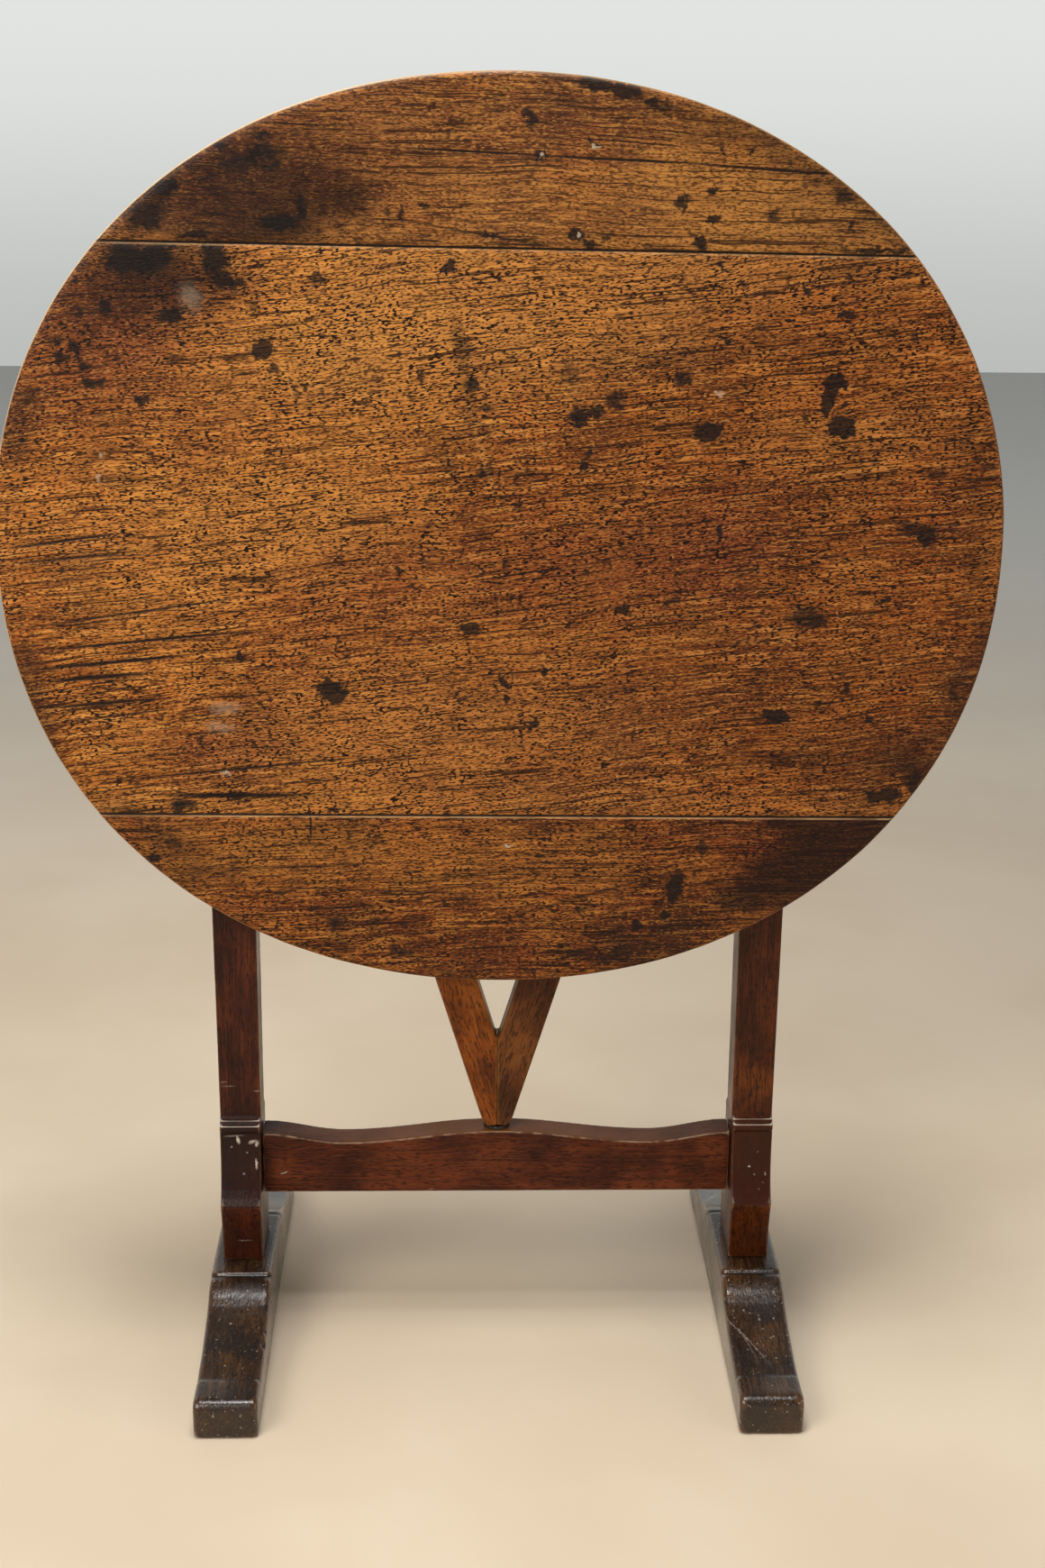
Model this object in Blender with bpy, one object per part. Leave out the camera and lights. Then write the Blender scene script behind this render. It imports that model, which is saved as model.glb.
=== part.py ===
"""Harvest table with a tilting oval top, standing folded in front of its own trestle.

Lengths are metres.  X runs along the stretcher, -Y is the front, +Z is up and the floor is z = 0.
The top is modelled as it lies level, about its hinge, and the empty that carries it tips it upright.
"""

import math

import bmesh
import bpy
from mathutils import Vector

# Gaps that the joiner leaves
FIT = 0.0003
RUNNING_FIT = 0.0004

# Oval top: the grain runs along X, and places across it are measured from the hinge
TABLE_HEIGHT = 0.740
TOP_LENGTH = 0.820
TOP_WIDTH = 0.750
TOP_THICKNESS = 0.022
TOP_SQUARENESS = 2.1
TOP_SET_BACK = 0.066
UNDERSIDE_RISE = 0.050
RIM_ROUND = 0.004
UNDERSIDE_EASE = 0.0015
LOWER_PLANK_WIDTH = 0.152
LOWER_JOINT_SKEW = math.radians(-0.25)
UPPER_PLANK_WIDTH = 0.132
UPPER_JOINT_SKEW = math.radians(-0.64)
TONGUE_WIDTH = 0.022
TONGUE_THICKNESS = 0.007
TONGUE_STOP = 0.050

# Battens under the planks, between the uprights
BATTEN_WIDTH = 0.046
BATTEN_SIDE_GAP = 0.0145
BATTEN_RIM_MARGIN = 0.023
BATTEN_END_TAPER = 0.034
BATTEN_END_DEPTH = 0.014
LOWER_SCREW_INSET = 0.027
UPPER_SCREW_INSET = 0.017

# Pivot cheeks outside the uprights, and the bearer rail between them
CHEEK_THICKNESS = 0.022
CHEEK_SIDE_GAP = 0.001
CHEEK_FRONT_INSET = 0.017
CHEEK_BACK_INSET = 0.059
CHEEK_DEPTH = 0.024
CHEEK_END_DEPTH = 0.013
CHEEK_END_TAPER = 0.020
CHEEK_SWEEP = 0.060
CHEEK_EAR_RADIUS = 0.025
CHEEK_SCREW_INSET = 0.034
BEARER_SET_BACK = 0.110
BEARER_WIDTH = 0.030
BEARER_DEPTH = 0.035
BEARER_COVER = 0.005
BEARER_LOBE_RADIUS = 0.012
BEARER_TENON_LENGTH = 0.016
BEARER_TENON_WIDTH = 0.015
BEARER_TENON_DEPTH = 0.022
GATE_STOP_LENGTH = 0.018
GATE_STOP_DROP = 0.015
GATE_STOP_GAP = 0.0005

# Sledge feet, along Y
FOOT_LENGTH = 0.430
FOOT_WIDTH = 0.056
FOOT_SEAT_HEIGHT = 0.065
FOOT_SEAT_LENGTH = 0.108
FOOT_COVE = 0.003
FOOT_SHOULDER_RISE = 0.001
FOOT_SHOULDER_LENGTH = 0.003
FOOT_BROW_LENGTH = 0.021
FOOT_BROW_DROP = 0.0075
FOOT_BROW_LEVEL = 0.4
FOOT_SWEEP = 1.8
FOOT_TOE_HEIGHT = 0.034
FOOT_TOE_LENGTH = 0.036
FOOT_NOSE_ROUND = 0.010
FOOT_QUIRK = 0.0015
FOOT_EASE = 0.004

# Uprights: one board each, moulded and flared front and back below the ledge
UPRIGHT_SPACING = 0.466
UPRIGHT_WIDTH = 0.037
UPRIGHT_TOP_WIDTH = 0.041
UPRIGHT_DEPTH = 0.038
UPRIGHT_EASE = 0.0016
LEDGE_HEIGHT = 0.2075
LEDGE_COVE = 0.005
LEDGE_STEP = 0.002
LEDGE_SPLAY_WIDTH = 0.0042
LEDGE_SPLAY_DROP = 0.002
LEDGE_FILLET = 0.005
LEDGE_QUIRK = 0.002
BLOCK_FACE_DEPTH = 0.053
BLOCK_FACE_HEIGHT = 0.0155
BLOCK_ARRIS_HEIGHT = 0.1245
BLOCK_ARRIS_FLAT = 0.003
BLOCK_ARRIS_DEPTH = 0.082
BLOCK_BASE_DEPTH = 0.064
FOOT_TENON_WIDTH = 0.016
FOOT_TENON_DEPTH = 0.040
FOOT_TENON_LENGTH = 0.045

# Stretcher with a scalloped upper edge, and the rail between the tops of the uprights
STRETCHER_THICKNESS = 0.029
STRETCHER_BOTTOM = 0.125
STRETCHER_END_HEIGHT = 0.060
STRETCHER_DIP_HEIGHT = 0.0505
STRETCHER_HUMP_HEIGHT = 0.0615
STRETCHER_DIP_PLACE = 0.140
STRETCHER_EASE = 0.0012
STRETCHER_TENON_HEIGHT = 0.036
TOP_RAIL_THICKNESS = 0.030
TOP_RAIL_HEIGHT = 0.046
TOP_RAIL_TENON_HEIGHT = 0.026
TOP_RAIL_TENON_DROP = 0.012
RAIL_TENON_THICKNESS = 0.012
RAIL_TENON_LENGTH = 0.026
RAIL_EASE = 0.0012

# V-shaped gate that swings out under the top
GATE_THICKNESS = 0.022
GATE_TIP_HALF_WIDTH = 0.0096
GATE_FOOT_HALF_WIDTH = 0.0144
GATE_FOOT_TAPER = 0.008
GATE_ARM_WIDTH = 0.0356
GATE_EASE = 0.0012
GATE_HEAD_HEIGHT = 0.032
GATE_HEAD_GAP = 0.002
GATE_HEAD_SIDE_GAP = 0.010
GATE_HEAD_OVERHANG = 0.0095
GATE_HEAD_CORNER = 0.010
GATE_TENON_WIDTH = 0.020
GATE_TENON_THICKNESS = 0.008
GATE_TENON_LENGTH = 0.018
GATE_DOWEL_RADIUS = 0.004
GATE_DOWEL_LENGTH = 0.034
GATE_DOWEL_HEIGHT = 0.052

# Iron pivots, screws and wooden pegs
PIVOT_RADIUS = 0.006
PIVOT_SEAT = 0.030
PIVOT_HEAD_RADIUS = 0.011
PIVOT_HEAD_THICKNESS = 0.005
GATE_PIN_RADIUS = 0.005
GATE_PIN_IN_GATE = 0.038
GATE_PIN_IN_STRETCHER = 0.036
GATE_PIN_IN_HEAD = 0.024
GATE_PIN_IN_RAIL = 0.028
WASHER_RADIUS = 0.012
WASHER_THICKNESS = 0.003
PEG_RADIUS = 0.0042
PEG_PROUD = 0.0006
SCREW_HEAD_RADIUS = 0.0048
SCREW_HEAD_DEPTH = 0.003
SCREW_SHANK_RADIUS = 0.0022
SCREW_BITE = 0.014
SCREW_SLOT_WIDTH = 0.0011
SCREW_SLOT_DEPTH = 0.0013

# Smoothness of round forms
RIM_STEPS = 36
CURVE_STEPS = 6
EASE_STEPS = 2
PIN_SIDES = 24
PEG_SIDES = 12
SMOOTH_ANGLE = math.radians(32)
CUTTER_OVERRUN = 0.006

# Places that follow from the sizes above
HINGE_HEIGHT = TABLE_HEIGHT - TOP_THICKNESS - UNDERSIDE_RISE
LOWER_JOINT = TOP_SET_BACK - TOP_WIDTH / 2 + LOWER_PLANK_WIDTH
UPPER_JOINT = TOP_SET_BACK + TOP_WIDTH / 2 - UPPER_PLANK_WIDTH
CHEEK_FRONT_REACH = -LOWER_JOINT - CHEEK_FRONT_INSET
CHEEK_BACK_REACH = UPPER_JOINT - CHEEK_BACK_INSET
UPRIGHT_PLACE = UPRIGHT_SPACING / 2
UPRIGHT_TOP_RISE = UNDERSIDE_RISE - FIT
TOP_RAIL_BOTTOM = HINGE_HEIGHT - TOP_RAIL_HEIGHT
TOP_RAIL_HALF_LENGTH = UPRIGHT_PLACE - UPRIGHT_TOP_WIDTH / 2 - FIT
STRETCHER_HALF_LENGTH = UPRIGHT_PLACE - UPRIGHT_WIDTH / 2 - FIT
STRETCHER_HUMP_TOP = STRETCHER_BOTTOM + STRETCHER_HUMP_HEIGHT
GATE_FOOT_HEIGHT = STRETCHER_HUMP_TOP + WASHER_THICKNESS + 2 * FIT
GATE_HEAD_DROP = TOP_RAIL_HEIGHT + GATE_HEAD_GAP
GATE_HEIGHT = HINGE_HEIGHT - GATE_HEAD_DROP - GATE_FOOT_HEIGHT
BATTEN_INNER = UPRIGHT_PLACE - UPRIGHT_TOP_WIDTH / 2 - BATTEN_SIDE_GAP - BATTEN_WIDTH
BATTEN_FACE_RISE = TOP_RAIL_THICKNESS / 2 + FIT
GATE_HEAD_HALF_LENGTH = BATTEN_INNER - GATE_HEAD_SIDE_GAP
CHEEK_INNER = UPRIGHT_PLACE + UPRIGHT_TOP_WIDTH / 2 + CHEEK_SIDE_GAP
CHEEK_OUTER = CHEEK_INNER + CHEEK_THICKNESS
BEARER_BOTTOM = FIT - GATE_HEAD_DROP
BEARER_TOP = BEARER_BOTTOM + BEARER_DEPTH
BEARER_HALF_LENGTH = CHEEK_INNER - FIT

# Turns that lay a flat outline in the side plane (Y, Z) or the front plane (X, Z)
SIDE_PLANE = (math.pi / 2, 0, math.pi / 2)
FRONT_PLANE = (math.pi / 2, 0, 0)
LEVEL = (0, 0, 0)
TIPPED_UPRIGHT = (math.pi / 2, 0, 0)

SIDES = (("left", -1), ("right", 1))


def clear_scene():
    for thing in list(bpy.data.objects):
        bpy.data.objects.remove(thing, do_unlink=True)


def linear(hex_colour):
    """Linear colour for a hex value as it looks on a screen."""
    channels = [int(hex_colour[i:i + 2], 16) / 255 for i in (0, 2, 4)]
    return [c / 12.92 if c <= 0.04045 else ((c + 0.055) / 1.055) ** 2.4 for c in channels] + [1.0]


def finish(name, hex_colour, roughness, metallic=0.0):
    material = bpy.data.materials.new(name)
    material.use_nodes = True
    shader = material.node_tree.nodes["Principled BSDF"]
    shader.inputs["Base Color"].default_value = linear(hex_colour)
    shader.inputs["Roughness"].default_value = roughness
    shader.inputs["Metallic"].default_value = metallic
    return material


def frame(name, location, rotation=LEVEL):
    """Empty that carries the pieces of one body, on the axis that the body turns about."""
    carrier = bpy.data.objects.new(name, None)
    bpy.context.scene.collection.objects.link(carrier)
    carrier.location = location
    carrier.rotation_euler = rotation
    return carrier


def piece(name, bm, parent, material=None, location=(0, 0, 0), rotation=LEVEL):
    mesh = bpy.data.meshes.new(name)
    bmesh.ops.recalc_face_normals(bm, faces=bm.faces)
    bm.to_mesh(mesh)
    bm.free()
    mesh.shade_smooth()
    mesh.set_sharp_from_angle(angle=SMOOTH_ANGLE)
    if material:
        mesh.materials.append(material)
    made = bpy.data.objects.new(name, mesh)
    bpy.context.scene.collection.objects.link(made)
    made.parent = parent
    made.location = location
    made.rotation_euler = rotation
    return made


def tool(name, bm, parent, location=(0, 0, 0), rotation=LEVEL):
    """Shape that cuts or joins other pieces, and isn't a piece itself."""
    made = piece(name, bm, parent, None, location, rotation)
    made.hide_render = True
    made.display_type = 'WIRE'
    return made


def combine(target, shape, operation='DIFFERENCE'):
    change = target.modifiers.new(shape.name, 'BOOLEAN')
    change.operation = operation
    change.solver = 'EXACT'
    change.object = shape


def loft(rings, hollow=False):
    """Skin over rings of points, with a cap at each end, or closed on itself if hollow."""
    bm = bmesh.new()
    loops = [[bm.verts.new(point) for point in ring] for ring in rings]
    pairs = list(zip(loops, loops[1:]))
    if hollow:
        pairs.append((loops[-1], loops[0]))
    for low, high in pairs:
        for i, corner in enumerate(low):
            j = (i + 1) % len(low)
            bm.faces.new((corner, low[j], high[j], high[i]))
    if not hollow:
        bm.faces.new(list(reversed(loops[0])))
        bm.faces.new(loops[-1])
    return bm


def turned(profile, sides, hollow=False):
    """Round form about local Z from (radius, height) pairs."""
    turns = [2 * math.pi * i / sides for i in range(sides)]
    rings = [[(r * math.cos(a), r * math.sin(a), z) for a in turns] for r, z in profile]
    return loft(rings, hollow)


def inset(outline, distance):
    """Outline drawn in by a distance. Its points run anticlockwise."""
    drawn = []
    before = outline[-1:] + outline[:-1]
    after = outline[1:] + outline[:1]
    for back, here, ahead in zip(before, outline, after):
        arriving = (here - back).normalized()
        leaving = (ahead - here).normalized()
        normal = Vector((-arriving.y, arriving.x))
        inward = (normal + Vector((-leaving.y, leaving.x))).normalized()
        drawn.append(here + inward * (distance / inward.dot(normal)))
    return drawn


def slab(outline, low, high, ease):
    """Board of a flat outline, from low to high along local Z, with its long edges rounded over."""
    points = [Vector(point) for point in outline]
    turns = [math.pi / 2 * i / EASE_STEPS for i in range(EASE_STEPS + 1)]
    levels = [(ease * (1 - math.sin(a)), low + ease * (1 - math.cos(a))) for a in turns]
    levels += [(ease * (1 - math.sin(a)), high - ease * (1 - math.cos(a))) for a in reversed(turns)]
    return loft([[(p.x, p.y, z) for p in inset(points, draw)] for draw, z in levels])


def rectangle(left, right, low, high):
    return [(left, low), (right, low), (right, high), (left, high)]


def box(low, high, ease=0.0):
    """Square bar between two corners, with the edges at its two Z ends eased if asked."""
    outline = rectangle(low[0], high[0], low[1], high[1])
    if ease:
        return slab(outline, low[2], high[2], ease)
    return loft([[(x, y, z) for x, y in outline] for z in (low[2], high[2])])


def arc(centre, radius, start, end, steps=CURVE_STEPS):
    """Points on a circle from one angle to another, in degrees."""
    angles = [math.radians(start + (end - start) * i / steps) for i in range(steps + 1)]
    return [(centre[0] + radius * math.cos(a), centre[1] + radius * math.sin(a)) for a in angles]


def bezier(start, pull, end, steps=CURVE_STEPS):
    """Points on a curve from start to end, drawn towards pull."""
    points = []
    for i in range(steps + 1):
        t = i / steps
        points.append(tuple((1 - t) ** 2 * a + 2 * t * (1 - t) * b + t ** 2 * c
                            for a, b, c in zip(start, pull, end)))
    return points


def along(start, end):
    """Location, turn and length that lay local Z from start to end."""
    run = Vector(end) - Vector(start)
    return start, run.to_track_quat('Z', 'Y').to_euler(), run.length


def peg(name, parent, material, start, end, holders, radius=PEG_RADIUS):
    """Round peg driven in from start, where it stands a little proud, with its hole in each holder."""
    location, rotation, length = along(start, end)
    chamfer = radius / 6
    body = [(radius - chamfer, 0), (radius, chamfer), (radius, length - chamfer), (radius - chamfer, length)]
    made = piece(name, turned(body, PEG_SIDES), parent, material, location, rotation)
    hole = [(radius + FIT, -CUTTER_OVERRUN), (radius + FIT, length + FIT)]
    drill = tool(name + "_drill", turned(hole, PEG_SIDES), parent, location, rotation)
    for holder in holders:
        combine(holder, drill)
    return made


def screw(name, parent, material, start, end, holders):
    """Countersunk wood screw whose slotted head lies at start, with its hole in each holder."""
    location, rotation, length = along(start, end)
    lip = SCREW_HEAD_DEPTH / 4
    body = [(SCREW_HEAD_RADIUS, 0), (SCREW_HEAD_RADIUS, lip), (SCREW_SHANK_RADIUS, SCREW_HEAD_DEPTH),
            (SCREW_SHANK_RADIUS, length - SCREW_HEAD_DEPTH), (SCREW_SHANK_RADIUS / 5, length)]
    made = piece(name, turned(body, PEG_SIDES), parent, material, location, rotation)
    reach = 2 * SCREW_HEAD_RADIUS
    groove = box((-reach, -SCREW_SLOT_WIDTH / 2, -CUTTER_OVERRUN),
                 (reach, SCREW_SLOT_WIDTH / 2, SCREW_SLOT_DEPTH))
    combine(made, tool(name + "_slot", groove, parent, location, rotation))
    hole = [(SCREW_HEAD_RADIUS + FIT, -CUTTER_OVERRUN), (SCREW_HEAD_RADIUS + FIT, lip + FIT),
            (SCREW_SHANK_RADIUS + FIT, SCREW_HEAD_DEPTH + FIT), (SCREW_SHANK_RADIUS + FIT, length + FIT)]
    drill = tool(name + "_drill", turned(hole, PEG_SIDES), parent, location, rotation)
    for holder in holders:
        combine(holder, drill)
    return made


def bore(name, parent, start, end, radius, holders):
    """Round hole from start to end in each holder."""
    location, rotation, length = along(start, end)
    drill = tool(name, turned([(radius, 0), (radius, length)], PIN_SIDES), parent, location, rotation)
    for holder in holders:
        combine(holder, drill)


def tenon(name, parent, low, high, tongue_of, socket_of):
    """Square tongue that grows from one piece into a mortise of another."""
    low = Vector(low)
    high = Vector(high)
    play = Vector((FIT, FIT, FIT))
    combine(tongue_of, tool(name + "_tongue", box(low, high), parent), 'UNION')
    combine(socket_of, tool(name + "_mortise", box(low - play, high + play), parent))


def oval_point(angle, draw):
    """Point on the rim of the level top, drawn in by a distance."""
    power = 2 / TOP_SQUARENESS
    across = math.cos(angle)
    back = math.sin(angle)
    x = math.copysign(abs(across) ** power, across) * (TOP_LENGTH / 2 - draw)
    y = math.copysign(abs(back) ** power, back) * (TOP_WIDTH / 2 - draw)
    return x, TOP_SET_BACK + y


def rim_reach(x):
    """Half width of the oval at a place along the grain, measured from the oval's middle."""
    return TOP_WIDTH / 2 * (1 - abs(2 * x / TOP_LENGTH) ** TOP_SQUARENESS) ** (1 / TOP_SQUARENESS)


def joint_half_length(place):
    """Half length of a plank joint, where the hinge is at place zero."""
    share = abs(2 * (place - TOP_SET_BACK) / TOP_WIDTH)
    return TOP_LENGTH / 2 * (1 - share ** TOP_SQUARENESS) ** (1 / TOP_SQUARENESS)


def joint_angle(place, skew, draw, low, high):
    """Angle between low and high where the rim crosses a plank joint."""
    slope = math.tan(skew)

    def above(angle):
        x, y = oval_point(angle, draw)
        return y - place - slope * x

    rising = above(high) > above(low)
    for _ in range(50):
        middle = (low + high) / 2
        if (above(middle) < 0) == rising:
            low = middle
        else:
            high = middle
    return (low + high) / 2


def rim_run(start, end, draw):
    return [oval_point(start + (end - start) * i / RIM_STEPS, draw) for i in range(RIM_STEPS + 1)]


def plank_outline(draw, lower, upper):
    """Part of the oval between two joints, each a (place, skew) pair or None at the rim."""
    quarter = math.pi / 2
    if lower:
        lower_right = joint_angle(*lower, draw, -quarter, quarter)
        lower_left = joint_angle(*lower, draw, quarter, 3 * quarter)
    if upper:
        upper_right = joint_angle(*upper, draw, -quarter, quarter)
        upper_left = joint_angle(*upper, draw, quarter, 3 * quarter)
    if not lower:
        return rim_run(upper_left, upper_right + 4 * quarter, draw)
    if not upper:
        return rim_run(lower_right, lower_left, draw)
    return rim_run(lower_right, upper_right, draw) + rim_run(upper_left, lower_left, draw)


def plank(name, parent, material, lower, upper):
    """Board of the top: rounded over at the rim, with its joint edges a little eased on the face."""
    face = UNDERSIDE_RISE + TOP_THICKNESS
    rounds = [math.pi / 2 * i / (EASE_STEPS + 1) for i in range(EASE_STEPS + 2)]
    levels = [(UNDERSIDE_EASE, UNDERSIDE_RISE), (0, UNDERSIDE_RISE + UNDERSIDE_EASE)]
    levels += [(RIM_ROUND * (1 - math.cos(a)), face - RIM_ROUND * (1 - math.sin(a))) for a in rounds]
    joint_ease = face - levels[-2][1]
    rings = []
    for draw, height in levels:
        gap = FIT / 2 + (joint_ease if height >= face else 0)
        below = (lower[0] + gap, lower[1]) if lower else None
        above = (upper[0] - gap, upper[1]) if upper else None
        rings.append([(x, y, height) for x, y in plank_outline(draw, below, above)])
    return piece(name, loft(rings), parent, material)


def make_planks(top, walnut):
    lower = (LOWER_JOINT, LOWER_JOINT_SKEW)
    upper = (UPPER_JOINT, UPPER_JOINT_SKEW)
    planks = {
        "lower": plank("lower_plank", top, walnut, None, lower),
        "middle": plank("middle_plank", top, walnut, lower, upper),
        "upper": plank("upper_plank", top, walnut, upper, None),
    }
    for name, (place, skew) in (("lower", lower), ("upper", upper)):
        half = joint_half_length(place) - TONGUE_STOP
        seat = (0, place, UNDERSIDE_RISE + TOP_THICKNESS / 2)
        turn = (0, 0, skew)
        corner = Vector((half, TONGUE_WIDTH / 2, TONGUE_THICKNESS / 2))
        room = corner + Vector((FIT, FIT, FIT))
        piece(name + "_tongue", box(-corner, corner), top, walnut, seat, turn)
        groove = tool(name + "_groove", box(-room, room), top, seat, turn)
        combine(planks[name], groove)
        combine(planks["middle"], groove)
    return planks


def make_battens(top, wood, iron, planks):
    """Two battens that hold the planks flat and rest against the top rail when the top stands up."""
    middle = BATTEN_INNER + BATTEN_WIDTH / 2
    reach = rim_reach(BATTEN_INNER + BATTEN_WIDTH) - BATTEN_RIM_MARGIN
    front = TOP_SET_BACK - reach
    back = TOP_SET_BACK + reach
    seat = UNDERSIDE_RISE - FIT
    tip = seat - BATTEN_END_DEPTH
    outline = [(front + BATTEN_END_TAPER, BATTEN_FACE_RISE), (back - BATTEN_END_TAPER, BATTEN_FACE_RISE),
               (back, tip), (back, seat), (front, seat), (front, tip)]
    screws = (("lower", LOWER_JOINT - LOWER_SCREW_INSET),
              ("middle", (LOWER_JOINT + UPPER_JOINT) / 2),
              ("upper", UPPER_JOINT + UPPER_SCREW_INSET))
    for side, sign in SIDES:
        name = side + "_batten"
        body = slab(outline, -BATTEN_WIDTH / 2, BATTEN_WIDTH / 2, RAIL_EASE)
        batten = piece(name, body, top, wood, (sign * middle, 0, 0), SIDE_PLANE)
        for part, place in screws:
            head = (sign * middle, place, BATTEN_FACE_RISE)
            point = (sign * middle, place, UNDERSIDE_RISE + SCREW_BITE)
            screw(name + "_screw_" + part, top, iron, head, point, (batten, planks[part]))


def cheek_outline():
    """Side of a pivot cheek: a batten that sweeps down to an ear round the pin and a lobe at the bearer."""
    seat = UNDERSIDE_RISE - FIT
    low = seat - CHEEK_DEPTH
    tip = seat - CHEEK_END_DEPTH
    ear = CHEEK_EAR_RADIUS
    lobe = BEARER_LOBE_RADIUS
    lobe_reach = BEARER_WIDTH / 2 + BEARER_COVER - lobe
    near = (BEARER_SET_BACK - lobe_reach, BEARER_BOTTOM - BEARER_COVER + lobe)
    far = (BEARER_SET_BACK + lobe_reach, near[1])
    leaning = math.atan2(near[1], near[0]) - math.acos((ear - lobe) / math.hypot(*near))
    tangent = 360 + math.degrees(leaning)
    rise = (far[0] + lobe, low)
    front_room = CHEEK_FRONT_REACH - CHEEK_END_TAPER - ear
    back_room = CHEEK_BACK_REACH - CHEEK_END_TAPER - rise[0]
    front_sweep = min(CHEEK_SWEEP, front_room - RAIL_EASE)
    back_sweep = min(CHEEK_SWEEP, back_room - RAIL_EASE)
    points = [(-CHEEK_FRONT_REACH, tip), (CHEEK_END_TAPER - CHEEK_FRONT_REACH, low)]
    points += bezier((-ear - front_sweep, low), (-ear, low), (-ear, 0))[:-1]
    points += arc((0, 0), ear, 180, tangent)
    points += arc(near, lobe, tangent, 270, EASE_STEPS)
    points += arc(far, lobe, 270, 360)[:-1]
    points += bezier((rise[0], far[1]), rise, (rise[0] + back_sweep, low))
    points += [(CHEEK_BACK_REACH - CHEEK_END_TAPER, low), (CHEEK_BACK_REACH, tip)]
    points += [(CHEEK_BACK_REACH, seat), (-CHEEK_FRONT_REACH, seat)]
    return points


def make_cheeks(top, wood, iron, planks):
    cheeks = {}
    for side, sign in SIDES:
        name = side + "_cheek"
        body = slab(cheek_outline(), -CHEEK_THICKNESS / 2, CHEEK_THICKNESS / 2, RAIL_EASE)
        middle = sign * (CHEEK_INNER + CHEEK_OUTER) / 2
        cheek = piece(name, body, top, wood, (middle, 0, 0), SIDE_PLANE)
        inside = (sign * (CHEEK_INNER - CUTTER_OVERRUN), 0, 0)
        outside = (sign * (CHEEK_OUTER + CUTTER_OVERRUN), 0, 0)
        bore(name + "_pivot_hole", top, inside, outside, PIVOT_RADIUS + RUNNING_FIT, (cheek,))
        ends = (("front", CHEEK_SCREW_INSET - CHEEK_FRONT_REACH),
                ("back", CHEEK_BACK_REACH - CHEEK_SCREW_INSET))
        for part, place in ends:
            head = (middle, place, UNDERSIDE_RISE - FIT - CHEEK_DEPTH)
            point = (middle, place, UNDERSIDE_RISE + SCREW_BITE)
            screw(name + "_screw_" + part, top, iron, head, point, (cheek, planks["middle"]))
        cheeks[side] = cheek
    return cheeks


def make_bearer(top, wood, peg_wood, iron, cheeks):
    """Cross rail that comes down on the gate's head, with a block that stops the gate square."""
    outline = rectangle(BEARER_SET_BACK - BEARER_WIDTH / 2, BEARER_SET_BACK + BEARER_WIDTH / 2,
                        BEARER_BOTTOM, BEARER_TOP)
    body = slab(outline, -BEARER_HALF_LENGTH, BEARER_HALF_LENGTH, RAIL_EASE)
    bearer = piece("bearer_rail", body, top, wood, (0, 0, 0), SIDE_PLANE)
    middle = (BEARER_BOTTOM + BEARER_TOP) / 2
    for side, sign in SIDES:
        root = sign * (BEARER_HALF_LENGTH - CUTTER_OVERRUN)
        end = sign * (CHEEK_INNER + BEARER_TENON_LENGTH)
        low = (min(root, end), BEARER_SET_BACK - BEARER_TENON_WIDTH / 2, middle - BEARER_TENON_DEPTH / 2)
        high = (max(root, end), BEARER_SET_BACK + BEARER_TENON_WIDTH / 2, middle + BEARER_TENON_DEPTH / 2)
        tenon(side + "_bearer", top, low, high, bearer, cheeks[side])
        place = sign * (CHEEK_INNER + BEARER_TENON_LENGTH / 2)
        start = (place, BEARER_SET_BACK, BEARER_BOTTOM - BEARER_COVER - PEG_PROUD)
        peg(side + "_bearer_peg", top, peg_wood, start, (place, BEARER_SET_BACK, BEARER_TOP),
            (cheeks[side], bearer))
    near = -GATE_THICKNESS / 2 - GATE_STOP_GAP
    low = (near - GATE_STOP_LENGTH, BEARER_SET_BACK - BEARER_WIDTH / 2, BEARER_BOTTOM - FIT - GATE_STOP_DROP)
    high = (near, BEARER_SET_BACK + BEARER_WIDTH / 2, BEARER_BOTTOM - FIT)
    stop = piece("gate_stop", box(low, high, RAIL_EASE), top, wood)
    place = near - GATE_STOP_LENGTH / 2
    head = (place, BEARER_SET_BACK, low[2])
    screw("gate_stop_screw", top, iron, head, (place, BEARER_SET_BACK, BEARER_BOTTOM + SCREW_BITE),
          (stop, bearer))


def foot_outline():
    """Side of a sledge foot: a flat seat, a cove, a round shoulder, a long hollow slope and a round toe."""
    half = FOOT_LENGTH / 2
    seat_end = FOOT_SEAT_LENGTH / 2
    cove_foot = (seat_end + FOOT_COVE, FOOT_SEAT_HEIGHT - FOOT_COVE)
    shoulder = (cove_foot[0] + FOOT_SHOULDER_LENGTH, cove_foot[1] + FOOT_SHOULDER_RISE)
    crease = (half - FOOT_TOE_LENGTH, FOOT_TOE_HEIGHT)
    foot_of_slope = (crease[0] - FOOT_QUIRK, crease[1] - FOOT_QUIRK)
    brow = (shoulder[0] + FOOT_BROW_LENGTH, shoulder[1] - FOOT_BROW_DROP)
    upper_pull = (shoulder[0] + FOOT_BROW_LEVEL * FOOT_BROW_LENGTH, shoulder[1])
    lower_pull = tuple(b + FOOT_SWEEP * (b - u) for b, u in zip(brow, upper_pull))
    nose = arc((half - FOOT_NOSE_ROUND, FOOT_TOE_HEIGHT - FOOT_NOSE_ROUND), FOOT_NOSE_ROUND, 0, 90)
    back = [(half, 0)] + nose + [crease]
    back += bezier(foot_of_slope, lower_pull, brow)
    back += bezier(brow, upper_pull, shoulder)[1:]
    back += arc((cove_foot[0], FOOT_SEAT_HEIGHT), FOOT_COVE, 270, 180)
    front = [(-y, z) for y, z in reversed(back)]
    return back + front


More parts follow.
